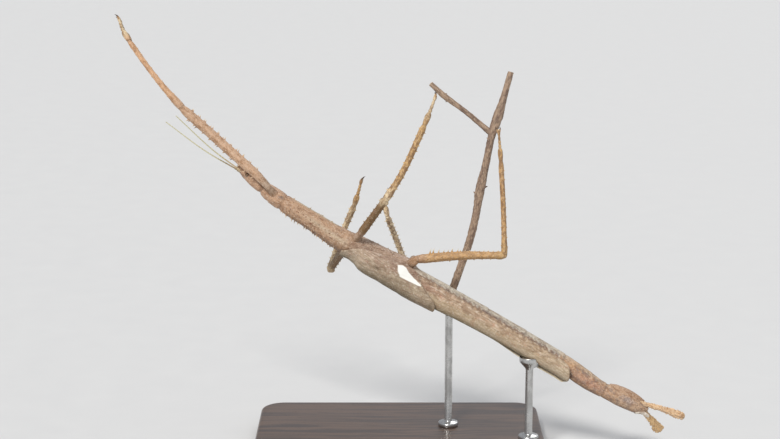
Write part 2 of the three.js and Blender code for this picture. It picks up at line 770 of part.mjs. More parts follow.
const keelAt = off(bodyAxes(BODY_ROD_STATION), 0, wingReach(BODY_ROD_STATION, 0));
const wingCutter = tube(
  BODY_CURVE,
  BACK_FACES,
  [-12, -6, 0, 6, 12].map((shift) => (BODY_ROD_STATION + shift) / BODY_LENGTH),
  16,
  (share, angle) => wingReach(share * BODY_LENGTH, angle) + GAP,
);
const cradleTop = keelAt.z + CRADLE.overKeel;
add(
  'stand_rod_body',
  cut(
    post(keelAt.x, keelAt.y, [
      [0, footTop],
      [ROD.foot, footTop],
      [ROD.foot, footTop + ROD.footTall],
      [ROD.radius, footTop + ROD.footTall],
      [ROD.radius, cradleTop - CRADLE.tall],
      [CRADLE.radius, cradleTop - 0.4 * CRADLE.tall],
      [CRADLE.radius, cradleTop],
      [0, cradleTop],
    ]),
    [wingCutter],
  ),
  FINISHES.steel,
);

export default insect;
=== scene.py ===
# %% [markdown]
# # A stick insect hanging under a twig
#
# This lesson dresses a life-size display model: a long winged stick insect that hangs under a
# forked twig, held by a small stand. The solids come from the frame, in metres. Here they get
# smooth skins, spines, veins and finishes. Each cell makes one piece or one finish, and prints
# what it made.

# %% Load the solids and keep their box
import math

import bpy
import numpy as np
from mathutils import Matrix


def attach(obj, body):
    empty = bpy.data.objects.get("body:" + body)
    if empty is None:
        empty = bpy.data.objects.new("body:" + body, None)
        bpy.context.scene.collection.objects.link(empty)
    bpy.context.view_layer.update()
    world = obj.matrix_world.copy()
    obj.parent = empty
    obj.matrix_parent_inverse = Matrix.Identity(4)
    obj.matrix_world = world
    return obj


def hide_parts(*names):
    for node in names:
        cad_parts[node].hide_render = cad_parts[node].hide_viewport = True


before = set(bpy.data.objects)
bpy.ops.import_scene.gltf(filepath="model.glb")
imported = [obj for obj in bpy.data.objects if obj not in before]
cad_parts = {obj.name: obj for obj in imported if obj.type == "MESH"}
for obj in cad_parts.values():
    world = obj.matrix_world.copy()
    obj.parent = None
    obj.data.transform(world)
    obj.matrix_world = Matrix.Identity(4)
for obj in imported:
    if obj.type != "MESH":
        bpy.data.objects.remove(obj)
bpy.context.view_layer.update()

# %% [markdown]
# ## The camera
# A long lens from the insect's right side, looking down a little, shows the body almost flat on.
# It comes first so that every later piece can be judged through it.

# %% Camera
MM = 0.001  # everything below is measured in millimetres and turned into metres once
LENS_MM, SENSOR_MM = 85.0, 36.0
LOOK_DOWN = 12.0  # degrees
CAMERA_AT = (-4.0, -734.6, 255.0)
NEAREST, FARTHEST = 0.01, 30.0  # metres


def add_object(name, data):
    made = bpy.data.objects.new(name, data)
    bpy.context.scene.collection.objects.link(made)
    return made


camera_data = bpy.data.cameras.new("camera")
camera_data.lens, camera_data.sensor_width = LENS_MM, SENSOR_MM
camera_data.clip_start, camera_data.clip_end = NEAREST, FARTHEST
camera = add_object("camera", camera_data)
camera.location = [v * MM for v in CAMERA_AT]
camera.rotation_euler = (math.radians(90.0 - LOOK_DOWN), 0.0, 0.0)
bpy.context.scene.camera = camera
print("camera at", [round(v, 3) for v in camera.location])

# %% [markdown]
# ## Numbers that run smoothly
# An insect's outline is easiest to give as a table: how wide it is at a few places along it.
# Straight lines between the rows would show as kinks, so a monotone cubic runs through them. It
# never swings past a row, as an ordinary spline would.

# %% Smooth tables
def smooth(rows):
    """A function of x through rows of (x, a, b, ...). It gives one array for each column."""
    rows = np.array(rows, float)
    x, y = rows[:, 0], rows[:, 1:]
    step = np.diff(x)[:, None]
    rise = np.diff(y, axis=0) / step
    slope = np.zeros_like(y)
    slope[0], slope[-1] = rise[0], rise[-1]
    before, after = rise[:-1], rise[1:]
    same_way = before * after > 0
    weigh_before, weigh_after = 2 * step[1:] + step[:-1], step[1:] + 2 * step[:-1]
    safe_before, safe_after = np.where(same_way, before, 1), np.where(same_way, after, 1)
    mean = (weigh_before + weigh_after) / (weigh_before / safe_before + weigh_after / safe_after)
    slope[1:-1] = np.where(same_way, mean, 0)

    def value(at):
        at = np.clip(np.asarray(at, float), x[0], x[-1])
        i = np.clip(np.searchsorted(x, at, "right") - 1, 0, len(x) - 2)
        wide = (x[i + 1] - x[i])[..., None]
        t = (at - x[i])[..., None] / wide
        mixed = (
            (2 * t**3 - 3 * t**2 + 1) * y[i]
            + (t**3 - 2 * t**2 + t) * wide * slope[i]
            + (3 * t**2 - 2 * t**3) * y[i + 1]
            + (t**3 - t**2) * wide * slope[i + 1]
        )
        columns = np.moveaxis(mixed, -1, 0)
        return columns if len(columns) > 1 else columns[0]

    return value


print("half way between 1 and 3:", float(smooth([(0, 1), (1, 3)])(0.5)))

# %% [markdown]
# ## Soft steps and layers
# Colours and relief come and go over a few millimetres or degrees. A soft step, a soft hump and a
# mix of two colours are enough to draw all of them.

# %% Soft steps
def ramp(x, start, end):
    """0 before start, 1 after end, and a soft step between them."""
    t = np.clip((np.asarray(x, float) - start) / (end - start), 0, 1)
    return t * t * (3 - 2 * t)


def bump(x, centre, wide):
    """A soft hump of height 1."""
    return np.exp(-(((np.asarray(x, float) - centre) / wide) ** 2))


def span(x, rise, full, fall, end):
    """1 from full to fall, with a soft step at each side."""
    return ramp(x, rise, full) * (1 - ramp(x, fall, end))


def between(a, b, share):
    return a + (b - a) * share


def mix(a, b, share):
    """A colour between a and b."""
    a, b, share = (np.asarray(v, float) for v in (a, b, share))
    return between(a, b, share[..., None])


def layered(color, *layers):
    """Lays colours over a ground colour, one after another, each by its share."""
    for over, share in layers:
        color = mix(color, over, share)
    return color


def ripple(along, angle, seed):
    """Low uneven swellings, made of a few waves that don't repeat along a piece."""
    rng = np.random.default_rng(seed)
    total = 0.0
    for _ in range(9):
        wave, turns, start = rng.uniform(0.25, 1.5), rng.integers(1, 6), rng.uniform(0, 2 * np.pi)
        total = total + np.sin(wave * along + turns * angle + start)
    return total / 9


print("a quarter up a soft step:", float(ramp(0.25, 0, 1)))

# %% [markdown]
# ## Lines through the middle
# Every long piece, from the body to a claw, is a tube round a middle line. The line is a
# centripetal Catmull-Rom curve, the same kind that the solids use, so that skins and solids agree.
# At each place along it there are three directions: along the line, towards the piece's top, and
# to its side. The insect hangs, so its own top, the back, faces down.

# %% Middle lines
SAMPLES = 60  # between two given points
BACK_FACES = (-0.5, -0.26, -0.83)


class Line:
    """A smooth line through points, read by its length in millimetres."""

    def __init__(self, points, top_way=BACK_FACES):
        self.top_way = np.asarray(top_way, float)
        given = np.array(points, float)
        ends = np.vstack([2 * given[0] - given[1], given, 2 * given[-1] - given[-2]])
        t = np.linspace(0, 1, SAMPLES, endpoint=False)[:, None]
        spans = []
        for p0, p1, p2, p3 in zip(ends, ends[1:], ends[2:], ends[3:]):
            d0, d1, d2 = (np.linalg.norm(b - a) ** 0.5 for a, b in ((p0, p1), (p1, p2), (p2, p3)))
            leave = ((p1 - p0) / d0 - (p2 - p0) / (d0 + d1) + (p2 - p1) / d1) * d1
            arrive = ((p2 - p1) / d1 - (p3 - p1) / (d1 + d2) + (p3 - p2) / d2) * d1
            curve = p1 + leave * t + (3 * (p2 - p1) - 2 * leave - arrive) * t**2
            spans.append(curve + (2 * (p1 - p2) + leave + arrive) * t**3)
        self.points = np.vstack([*spans, given[-1:]])
        pieces = np.linalg.norm(np.diff(self.points, axis=0), axis=1)
        self.lengths = np.concatenate([[0], np.cumsum(pieces)])
        self.long = self.lengths[-1]
        ways = np.gradient(self.points, self.lengths, axis=0)
        self.ways = ways / np.linalg.norm(ways, axis=1)[:, None]

    def read(self, table, where):
        return np.stack([np.interp(where, self.lengths, column) for column in table.T], -1)

    def axes(self, where):
        """Origin, along, top and side at each length. Past an end, the line runs straight on."""
        where = np.asarray(where, float)
        along = self.read(self.ways, where)
        along /= np.linalg.norm(along, axis=-1, keepdims=True)
        past = where - np.clip(where, 0, self.long)
        origin = self.read(self.points, where) + past[..., None] * along
        top = self.top_way - along * (along @ self.top_way)[..., None]
        top /= np.linalg.norm(top, axis=-1, keepdims=True)
        return origin, along, top, np.cross(top, along)

    def around(self, where, angle, reach):
        """Points at a distance from the line. Angle 0 is its top, and a quarter turn its side."""
        origin, _, top, side = self.axes(where)
        angle, reach = np.asarray(angle)[..., None], np.asarray(reach)[..., None]
        return origin + reach * (np.cos(angle) * top + np.sin(angle) * side)


print("a straight line of", Line([(0, 0, 0), (0, 0, 3)], (1, 0, 0)).long, "mm")

# %% [markdown]
# ## Collecting a skin
# A skin is one mesh made of many grids of points. Each point also carries what the finishes need:
# *straight*, its place if the piece were pulled straight, so that streaks follow the body round its
# bends; *tint*, its ground colour, with painted shade in places; *tip*, how near it is to the end of a
# spine; *groove*, how deep it lies in a seam, and so how much painted shade darkens it; *mark*, how
# strong the blotches are; and *spot*, where a pale patch lies.

# %% Skins
MARKS = ("tip", "groove", "mark", "spot")


class Skin:
    """Grids of points that become one mesh piece."""

    def __init__(self):
        self.points, self.straight, self.tint, self.faces = [], [], [], []
        self.marks = {name: [] for name in MARKS}
        self.count = 0

    def grid(self, points, straight, tint, zipped=False, **marks):
        """Rings of points. Each ring closes on itself, and the first and last are capped."""
        rings, around = points.shape[:2]
        index = self.count + np.arange(rings * around).reshape(rings, around)
        beside = np.roll(index, -1, 1)
        quads = np.stack([index[:-1], index[1:], beside[1:], beside[:-1]], -1)
        self.faces += quads.reshape(-1, 4).tolist()
        caps = index[0].tolist(), index[-1, ::-1].tolist()
        if zipped:  # a long flat ring is capped by a row of small faces
            steps = range(around // 2 - 1)
            self.faces += [
                [cap[k], cap[k + 1], cap[-k - 2], cap[-k - 1]] for cap in caps for k in steps]
        else:
            self.faces += caps
        self.points.append(points.reshape(-1, 3))
        self.straight.append(straight.reshape(-1, 3))
        self.tint.append(np.broadcast_to(tint, points.shape).reshape(-1, 3))
        for name, rows in self.marks.items():
            rows.append(np.broadcast_to(marks.get(name, 0.0), (rings, around)).reshape(-1))
        self.count += rings * around

    def piece(self, name, finish, slot, *replaced):
        """Makes the mesh, gives it its finish, and lets it ride with the root."""
        mesh = bpy.data.meshes.new(name)
        mesh.from_pydata((np.vstack(self.points) * MM).tolist(), [], self.faces)
        tint = np.hstack([np.vstack(self.tint), np.ones((self.count, 1))])
        carried = [("straight", "FLOAT_VECTOR", "vector", np.vstack(self.straight))]
        carried += [("tint", "FLOAT_COLOR", "color", tint)]
        carried += [(mark, "FLOAT", "value", np.concatenate(rows)) for mark, rows in self.marks.items()]
        for label, kind, field, values in carried:
            layer = mesh.attributes.new(label, kind, "POINT")
            layer.data.foreach_set(field, values.astype(np.float32).ravel())
        mesh.shade_smooth()
        mesh.materials.append(finish)
        made = add_object(name, mesh)
        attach(made, "root")
        if replaced:
            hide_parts(*replaced)
        print(f"{name}: {len(mesh.polygons)} faces, stands for {len(replaced)} solids")


print("each point carries a place, a tint and", ", ".join(MARKS))

# %% [markdown]
# ## Tubes
# A tube puts rings round a line. Its wall may stand at a different distance at each place and
# angle, and a few rings that close in round its ends off.

# %% Tubes
DOME = np.radians([88, 74, 60, 45, 30, 15])  # the rings that round an end off


def rings(start, end, step, dome_start=0.0, dome_end=0.0):
    """Where the rings lie along a line, and how far each is drawn in at a rounded end."""
    middle = np.linspace(start, end, max(2, round((end - start) / step) + 1))
    where, drawn = [middle], [np.ones(len(middle))]
    if dome_start:
        where.insert(0, start - dome_start * np.sin(DOME))
        drawn.insert(0, np.cos(DOME))
    if dome_end:
        where.append(end + dome_end * np.sin(DOME[::-1]))
        drawn.append(np.cos(DOME[::-1]))
    return np.concatenate(where), np.concatenate(drawn)


def asked(value, *at):
    return value(*at) if callable(value) else value


def tube(skin, line, spots, around, reach, tint, shift=0.0, **marks):
    """A closed tube: reach(where, angle) is how far its wall lies from the line."""
    where, drawn = spots
    angle = np.linspace(0, 2 * np.pi, around, endpoint=False)
    w, a = np.meshgrid(where, angle, indexing="ij")
    r = reach(w, a) * np.asarray(drawn)[:, None]
    straight = np.stack([w + shift, r * np.cos(a), r * np.sin(a)], -1)
    marks = {name: asked(value, w, a) for name, value in marks.items()}
    skin.grid(line.around(w, a, r), straight, asked(tint, w, a), **marks)


def oval(angle, height, width):
    """How far an oval reaches at an angle from its top."""
    return 1 / np.hypot(np.cos(angle) / height, np.sin(angle) / width)


print("an end is rounded by", len(DOME), "rings")

# %% [markdown]
# ## Thorns
# A thorn is a small cone: wide at its foot, which is sunk into the skin, and bent a little. It is
# long in the way it leans and thin across, as the real ones are.

# %% Thorns
THORN_RINGS = np.array([-0.3, 0.0, 0.12, 0.35, 0.62, 0.85, 1.0])  # shares of its height
THORN_SHAPE = np.array([1.25, 1.0, 0.74, 0.5, 0.31, 0.17, 0.05])[:, None]  # thickness at each of them


def thorn(skin, line, at, angle, reach, size, tint, place, around=8, pale=1.0, backward=False):
    """A thorn on the wall of a tube. size is its height, length, thickness and lean."""
    tall, long, thin, lean = size
    origin, along, top, side = line.axes(at)
    along = -along if backward else along
    up = np.cos(angle) * top + np.sin(angle) * side
    angles = np.linspace(0, 2 * np.pi, around, endpoint=False)
    share, a = np.meshgrid(THORN_RINGS, angles, indexing="ij")
    bent, across = lean * np.clip(share, 0, 1) ** 2, thin * THORN_SHAPE * np.sin(a)
    steps = (tall * share, long * THORN_SHAPE * np.cos(a) + bent, -across)
    points = sum(step[..., None] * way for step, way in zip(steps, (up, along, np.cross(up, along))))
    straight = np.asarray(place) + np.stack([bent, tall * share, across], -1)
    skin.grid(origin + reach * up + points, straight, tint, tip=pale * np.clip(share, 0, 1))


print("a thorn has", len(THORN_RINGS), "rings")

# %% [markdown]
# ## Finishes from small shared effects
# Skin, wings and bark all need mottling, fine grain and paler tips. Each such effect is a node group
# with named inputs and one output, built once and used with other values in each material. The
# groups read a place in millimetres, so a size of 2 means 2 mm on the animal.

# %% Building node trees
class Graph:
    """Adds nodes to a material or a group, and gives their outputs."""

    def __init__(self, tree):
        self.tree = tree

    def add(self, kind, inputs=None, **settings):
        """A new node. Its inputs are named or numbered, and take links or values."""
        made = self.tree.nodes.new(kind)
        for key, value in settings.items():
            setattr(made, key, value)
        for key, value in (inputs or {}).items():
            socket = made.inputs[key]
            if isinstance(value, bpy.types.NodeSocket):
                self.tree.links.new(value, socket)
            else:
                socket.default_value = (*value, 1.0) if socket.type == "RGBA" else value
        return made.outputs

    def use(self, effect, **inputs):
        """Places a shared effect. An underscore in an input's name stands for a space."""
        named = {key.replace("_", " "): value for key, value in inputs.items()}
        return self.add("ShaderNodeGroup", named, node_tree=effect)[0]

    def math(self, operation, *values):
        return self.add("ShaderNodeMath", dict(enumerate(values)), operation=operation)[0]

    def times(self, product, *values):
        for value in values:
            product = self.math("MULTIPLY", product, value)
        return product

    def blend(self, share, a, b, how="MIX"):
        inputs = {0: share, 6: a, 7: b}
        return self.add("ShaderNodeMix", inputs, data_type="RGBA", blend_type=how)[2]

    def shade(self, color, by):
        return self.blend(1.0, color, by, "MULTIPLY")

    def layers(self, color, *rows):
        """Lays colours over another. A row is a colour and the shares that make its strength."""
        for over, *shares in rows:
            color = self.blend(self.times(*shares), color, over)
        return color

    def soft(self, value, start, end, low=0.0, high=1.0):
        inputs = {"Value": value, 1: start, 2: end, 3: low, 4: high}
        return self.add("ShaderNodeMapRange", inputs, interpolation_type="SMOOTHSTEP")[0]

    def vector(self, operation, a, b):
        return self.add("ShaderNodeVectorMath", {0: a, 1: b}, operation=operation)[0]

    def stretch(self, place, x, y, z):
        return self.vector("MULTIPLY", place, self.add("ShaderNodeCombineXYZ", {0: x, 1: y, 2: z})[0])

    def noise(self, place, scale, detail=4.0, rough=0.55, out=0):
        inputs = {"Vector": place, "Scale": scale, "Detail": detail, "Roughness": rough}
        return self.add("ShaderNodeTexNoise", inputs)[out]

    def cells(self, place, scale, feature="F1"):
        inputs = {"Vector": place, "Scale": scale}
        return self.add("ShaderNodeTexVoronoi", inputs, feature=feature)[0]

    def attribute(self, name, out="Fac"):
        return self.add("ShaderNodeAttribute", attribute_name=name)[out]


SOCKETS = {1: "NodeSocketFloat", 3: "NodeSocketVector", 4: "NodeSocketColor"}


def effect(name, build, output, size=1, **inputs):
    """A shared node group. One number makes a plain socket, three a vector and four a colour."""
    tree = bpy.data.node_groups.new(name, "ShaderNodeTree")
    for label, value in inputs.items():
        kind = SOCKETS[np.size(value)]
        socket = tree.interface.new_socket(label.replace("_", " "), in_out="INPUT", socket_type=kind)
        socket.default_value = value
    tree.interface.new_socket(output, in_out="OUTPUT", socket_type=SOCKETS[size])
    graph = Graph(tree)
    graph.add("NodeGroupOutput", {output: build(graph, graph.add("NodeGroupInput"))})
    print("effect:", name, "->", output)
    return tree


# %% [markdown]
# ### Mottling
# Noise, pulled out along the body by *Stretch* and cut between *Low* and *High*, gives the broken
# streaks of bark-coloured skin. A second, finer noise frays their edges.

# %% Mottling
FINE, FRAYED = 4.7, 0.26  # how much smaller the fraying noise is, and its share
NOWHERE = (0, 0, 0)


def build_mottling(graph, given):
    across = graph.math("DIVIDE", 1.0, given["Size"])
    along = graph.math("DIVIDE", across, given["Stretch"])
    place = graph.stretch(given["Place"], along, across, across)
    broad, fine = (graph.noise(place, scale, detail=3.0) for scale in (1.0, FINE))
    both = graph.math("ADD", graph.times(broad, 1 - FRAYED), graph.times(fine, FRAYED))
    return graph.soft(both, given["Low"], given["High"])


mottling = effect(
    "mottling", build_mottling, "Mask", Place=NOWHERE, Size=2.0, Stretch=3.0, Low=0.5, High=0.65)


def mottled(graph, place, size, stretch, low, high):
    return graph.use(mottling, Place=place, Size=size, Stretch=stretch, Low=low, High=high)


# %% [markdown]
# ### Grain
# Dry insect skin is covered in tiny pits and cross wrinkles. Cells of a Voronoi texture make the
# pits, and a noise squeezed along the body makes the wrinkles. The group gives one height for a
# Bump node.

# %% Grain
def build_grain(graph, given):
    fine = graph.math("DIVIDE", 1.0, given["Pit"])
    pits = graph.soft(graph.cells(given["Place"], fine), 0.0, 0.55)
    wrinkles = graph.noise(graph.stretch(given["Place"], 2.6, 0.7, 0.7), 1.0, detail=3.0)
    grit = graph.noise(given["Place"], graph.times(fine, 1.6), detail=5.0, rough=0.7)
    folded = graph.times(wrinkles, given["Wrinkles"], 0.8)
    return graph.math("ADD", graph.math("ADD", graph.times(pits, 0.4), folded), graph.times(grit, 0.6))


grain = effect("grain", build_grain, "Height", Place=NOWHERE, Pit=0.5, Wrinkles=0.5)

# %% [markdown]
# ### Tips and seams
# Spines get paler towards their points, and painted shade darkens the seams between plates
# and the other grooves.

# %% Tips and seams
def build_tips(graph, given):
    # Seam color is painted shade, laid where a groove lies
    seamed = graph.blend(given["Seam"], given["Color"], given["Seam color"])
    return graph.blend(graph.soft(given["Tip"], 0.15, 0.8), seamed, given["Tip color"])


tips_and_seams = effect(
    "tips and seams", build_tips, "Color", size=4, Color=(0.5, 0.4, 0.3, 1), Tip=0.0,
    Tip_color=(0.8, 0.7, 0.5, 1), Seam=0.0, Seam_color=(0.15, 0.09, 0.05, 1))

# %% [markdown]
# ### Veins
# The net of veins in a folded wing is a stretched Voronoi pattern: the edges between long cells are
# the veins. *Place* holds millimetres along the wing and millimetres round it, and *Wobble* is how
# far the veins stray. Here and there they fade out, as worn veins do.

# %% Veins
def build_veins(graph, given):
    place = given["Place"]
    wobble = graph.noise(graph.stretch(place, 0.06, 0.25, 0.25), 1.0, detail=2.0, out=1)
    moved = graph.add(
        "ShaderNodeVectorMath", {0: wobble, "Scale": given["Wobble"]}, operation="SCALE")[0]
    along, across = (graph.math("DIVIDE", 1.0, given[size]) for size in ("Length", "Width"))
    net = graph.stretch(graph.vector("ADD", place, moved), along, across, 0.0)
    line = graph.soft(graph.cells(net, 1.0, "DISTANCE_TO_EDGE"), 0.0, given["Line"], 1.0, 0.0)
    worn = graph.noise(graph.stretch(place, 0.3, 0.9, 0.9), 1.0)
    return graph.times(line, graph.soft(worn, 0.38, 0.56, 0.15, 1.0))


veins = effect(
    "veins", build_veins, "Mask", Place=NOWHERE, Length=6.0, Width=0.8, Line=0.12, Wobble=1.5)

# %% [markdown]
# ## The insect's skin
# One recipe serves body, legs and tail, because they are one skin: a ground tint, dark streaks,
# paler freckles, dark specks, painted shade in the seams, and tips. What differs is its strength, so
# those are arguments.
# The gloss is low and uneven, as on a dry shell.

# %% Skin finishes
def new_finish(name):
    finish = bpy.data.materials.new(name)
    finish.use_nodes = True
    finish.node_tree.nodes.clear()
    return finish, Graph(finish.node_tree)


def close_finish(graph, color, roughness, height, depth, **more):
    """Joins colour, roughness and a height in millimetres to the shader and the output."""
    normal = graph.add("ShaderNodeBump", {"Height": height, "Distance": depth * MM, "Strength": 1.0})[0]
    inputs = {"Base Color": color, "Roughness": roughness, "Normal": normal}
    inputs |= {key.replace("_", " "): value for key, value in more.items()}
    shader = graph.add("ShaderNodeBsdfPrincipled", inputs)[0]
    graph.add("ShaderNodeOutputMaterial", {"Surface": shader})


def skin_finish(name, dark, streaks, speck, speck_share, tip, gritty, depth=0.12):
    """Shell skin: streaks are cut between two values, and gritty is the share of fine grit."""
    finish, graph = new_finish(name)
    place = graph.attribute("straight", "Vector")
    tint, mark = graph.attribute("tint", "Color"), graph.attribute("mark")
    broad = mottled(graph, place, 1.5, 2.4, *streaks)
    blotches = mottled(graph, place, 1.25, 1.5, 0.46, 0.56)
    freckles = mottled(graph, place, 0.55, 2.0, 0.54, 0.7)
    pale_grit = mottled(graph, place, 0.5, 1.6, 0.52, 0.62)
    dark_grit = mottled(graph, place, 0.6, 1.3, 0.48, 0.38)
    dots = graph.soft(graph.cells(place, 0.85), 0.1, 0.2, speck_share, 0.0)
    darker = graph.shade(tint, dark)
    paler = graph.blend(0.35, tint, (0.95, 0.86, 0.74))
    palest = graph.blend(0.5, tint, (0.93, 0.8, 0.64))
    color = graph.layers(
        tint, (darker, broad, 0.8), (paler, freckles, 0.6), (palest, pale_grit, gritty),
        (darker, dark_grit, gritty), (speck, blotches, mark, 0.85), (speck, dots))
    # Seam_color is painted shade for the seams and grooves.
    color = graph.use(
        tips_and_seams, Color=color, Tip=graph.attribute("tip"), Tip_color=tip,
        Seam=graph.attribute("groove"), Seam_color=(0.16, 0.095, 0.055))
    height = graph.use(grain, Place=place, Pit=0.42, Wrinkles=0.7)
    raised = graph.math("ADD", height, graph.times(graph.math("ADD", broad, pale_grit), 0.3))
    roughness = graph.soft(height, 0.3, 1.1, 0.67, 0.45)
    close_finish(graph, color, roughness, raised, depth, Specular_IOR_Level=0.4)
    return finish


body_skin = skin_finish(
    "body skin", (0.55, 0.46, 0.4), (0.48, 0.6), (0.17, 0.13, 0.12), 0.6, (0.72, 0.6, 0.44), 0.65)
leg_skin = skin_finish(
    "leg skin", (0.55, 0.44, 0.33), (0.5, 0.62), (0.24, 0.13, 0.065), 0.45, (0.8, 0.68, 0.46), 0.5)
tail_skin = skin_finish(
    "tail skin", (0.5, 0.38, 0.3), (0.5, 0.62), (0.3, 0.15, 0.09), 0.3, (0.85, 0.7, 0.5), 0.8, 0.17)
print("skins:", body_skin.name, leg_skin.name, tail_skin.name)

# %% [markdown]
# ## Wing finishes
# The folded wings are leathery along the flank, where the net of veins is dark, and papery over the
# back. *mark* says how strong the veins and blotches are. The white spot on each forewing is
# painted into the tint, and *spot* keeps it bare.

# %% Wing finishes
def wing_finish(name, cell, line, wobble, blotch_share, line_share):
    finish, graph = new_finish(name)
    place = graph.attribute("straight", "Vector")
    tint = graph.attribute("tint", "Color")
    mark, spot = graph.attribute("mark"), graph.attribute("spot")
    net = graph.use(veins, Place=place, Length=cell[0], Width=cell[1], Line=line, Wobble=wobble)
    fibres = mottled(graph, place, 0.5, 8.0, 0.46, 0.62)
    cloud = mottled(graph, place, 2.0, 1.8, 0.45, 0.6)
    flecks = mottled(graph, place, 0.8, 2.4, 0.55, 0.63)
    pits = mottled(graph, place, 0.7, 1.8, 0.46, 0.37)
    folds = mottled(graph, place, 1.1, 0.4, 0.44, 0.66)
    grit = mottled(graph, place, 0.5, 1.8, 0.51, 0.6)
    warm = mottled(graph, place, 1.8, 1.8, 0.52, 0.66)
    shades = ((0.56, 0.48, 0.42), (0.36, 0.29, 0.24), (0.98, 0.76, 0.74))
    darker, darkest, pinker = (graph.shade(tint, shade) for shade in shades)
    paler = graph.blend(0.45, tint, (0.9, 0.84, 0.72))
    kept = graph.math("SUBTRACT", 1.0, spot)
    strong = graph.times(mark, kept)
    color = graph.layers(
        tint, (pinker, warm, kept, 0.8), (darker, fibres, kept, 0.36), (darker, folds, kept, 0.3),
        (paler, grit, kept, 0.65), (darker, cloud, strong, blotch_share),
        (darkest, net, strong, line_share), (darkest, pits, strong, 0.6), (paler, flecks, strong, 0.7))
    # Seam_color is painted shade: in the slit between the wings, at a wing's end and along the
    # forewing's edge.
    color = graph.use(
        tips_and_seams, Color=color, Seam=graph.attribute("groove"), Seam_color=(0.17, 0.11, 0.07))
    gritty = graph.times(graph.use(grain, Place=place, Pit=0.5, Wrinkles=0.25), 0.6)
    ridged = graph.math("ADD", graph.times(net, 0.7), graph.times(fibres, 0.35))
    height = graph.math("ADD", graph.times(ridged, kept), gritty)
    roughness = graph.soft(cloud, 0.0, 1.0, 0.6, 0.48)
    close_finish(graph, color, roughness, height, 0.085, Specular_IOR_Level=0.35)
    return finish


hind_wing_skin = wing_finish("hind wing", (9.0, 0.9), 0.16, 2.0, 0.75, 0.5)
forewing_skin = wing_finish("forewing", (4.2, 0.55), 0.18, 1.2, 0.8, 0.7)
print("wings:", hind_wing_skin.name, forewing_skin.name)

# %% [markdown]
# ## Eyes, feelers and claws
# An eye is glossy and made of many small lenses, so Voronoi cells give it a fine knobbly bump.
# Feelers and claws are smooth horn that changes colour from its root to its end.

# %% Eyes, feelers and claws
def eye_finish():
    """Many small lenses over a brown eye with darker bands."""
    finish, graph = new_finish("eye")
    place = graph.attribute("straight", "Vector")
    lens = graph.cells(place, 9.0)
    bands = mottled(graph, place, 0.45, 0.35, 0.42, 0.56)
    color = graph.blend(bands, (0.3, 0.17, 0.08), (0.045, 0.025, 0.016))
    height, roughness = graph.soft(lens, 0.0, 0.6, 1.0, 0.0), graph.soft(lens, 0.2, 0.7, 0.12, 0.3)
    close_finish(graph, color, roughness, height, 0.03, Coat_Weight=0.5)
    return finish


def horn_finish(name, foot, end):
    """Smooth horn that changes from its root to its end."""
    finish, graph = new_finish(name)
    place = graph.attribute("straight", "Vector")
    worn = mottled(graph, place, 0.6, 2.0, 0.45, 0.6)
    color = graph.blend(graph.attribute("tip"), foot, end)
    color = graph.layers(color, (graph.shade(color, (0.62, 0.55, 0.48)), worn, 0.5))
    height = graph.use(grain, Place=place, Pit=0.3, Wrinkles=0.6)
    close_finish(graph, color, graph.soft(worn, 0, 1, 0.4, 0.55), height, 0.03)
    return finish


eye_gloss = eye_finish()
feeler_horn = horn_finish("feeler", (0.55, 0.42, 0.25), (0.58, 0.55, 0.34))
claw_horn = horn_finish("claw", (0.5, 0.3, 0.15), (0.06, 0.03, 0.018))
print("small finishes:", eye_gloss.name, feeler_horn.name, claw_horn.name)

# %% [markdown]
# ## The body's form
# The body is one long tube whose oval section is read from a table: its reach to the back, to the
# belly and to the sides. Places on it are given by a station, in millimetres from the head, and an
# angle: 0 is the middle of the back, a quarter turn is the right flank, and a half turn the belly.

# %% Body line and sections
BODY_LINE = Line([
    (-65.5, 8.5, 119.1), (-55.7, 6.7, 110.6), (-47.7, 5.5, 104.8), (-35.5, 3.9, 97.3),
    (-22.2, 2.1, 88.5), (-9.7, 0.6, 82.2), (2.6, -0.6, 76.3), (14.6, -2.0, 70.1),
    (41.7, -5.0, 55.0), (66.3, -8.1, 40.5), (81.2, -10.2, 30.9), (101.0, -12.1, 22.3),
])
NECK, WAIST, MIDDLE_HIPS, HIND_HIPS, TAIL = 13.0, 23.0, 53.5, 82.0, 194.0
RING_ENDS = (100.0, 118.0, 136.0, 154.5, 175.4)  # of the abdomen
body_section = smooth([  # station, reach to the back, to the belly and to each side
    (0.0, 1.2, 1.2, 1.4), (1.2, 1.8, 1.9, 2.2), (4.0, 2.4, 2.7, 2.8), (8.0, 2.8, 2.9, 3.0),
    (11.5, 2.7, 2.7, 2.8), (12.9, 2.4, 2.4, 2.5), (13.4, 2.6, 2.7, 2.7), (16.5, 3.3, 3.3, 3.2),
    (21.5, 3.5, 3.4, 3.3), (22.9, 3.2, 3.3, 3.2), (23.4, 3.3, 3.6, 3.3), (35.0, 3.8, 3.9, 3.6),
    (45.0, 4.1, 4.4, 4.1), (50.5, 4.2, 5.1, 4.8), (53.3, 4.3, 5.3, 4.8), (60.0, 3.7, 6.0, 4.5),
    (72.0, 3.9, 6.1, 4.6), (79.0, 4.0, 6.2, 4.9), (82.0, 4.0, 5.0, 4.5), (86.0, 4.0, 4.1, 4.1),
    (126.0, 3.8, 3.9, 3.9), (154.0, 3.7, 3.9, 3.7), (166.0, 3.6, 3.8, 3.5), (175.4, 3.1, 2.9, 3.1),
    (179.0, 3.3, 3.3, 3.5), (184.0, 3.7, 3.5, 3.9), (189.0, 3.7, 2.8, 3.4), (192.4, 2.9, 1.7, 2.5),
    (194.0, 2.1, 1.0, 1.8),
])


def plain_reach(station, angle):
    """The oval section alone, which the wings are laid over."""
    back, belly, side = body_section(station)
    return oval(angle, np.where(np.cos(angle) > 0, back, belly), side)


def fold(angle):
    """Degrees from the middle of the back, the same on both sides."""
    return np.degrees(np.abs((np.asarray(angle) + np.pi) % (2 * np.pi) - np.pi))


print("body line mm:", round(BODY_LINE.long, 1))

# %% [markdown]
# ## The legs' places
# The legs come here because the body swells where they join. Each part is a row of points that goes
# on from the part before, and the keel is the way its upper edge faces.

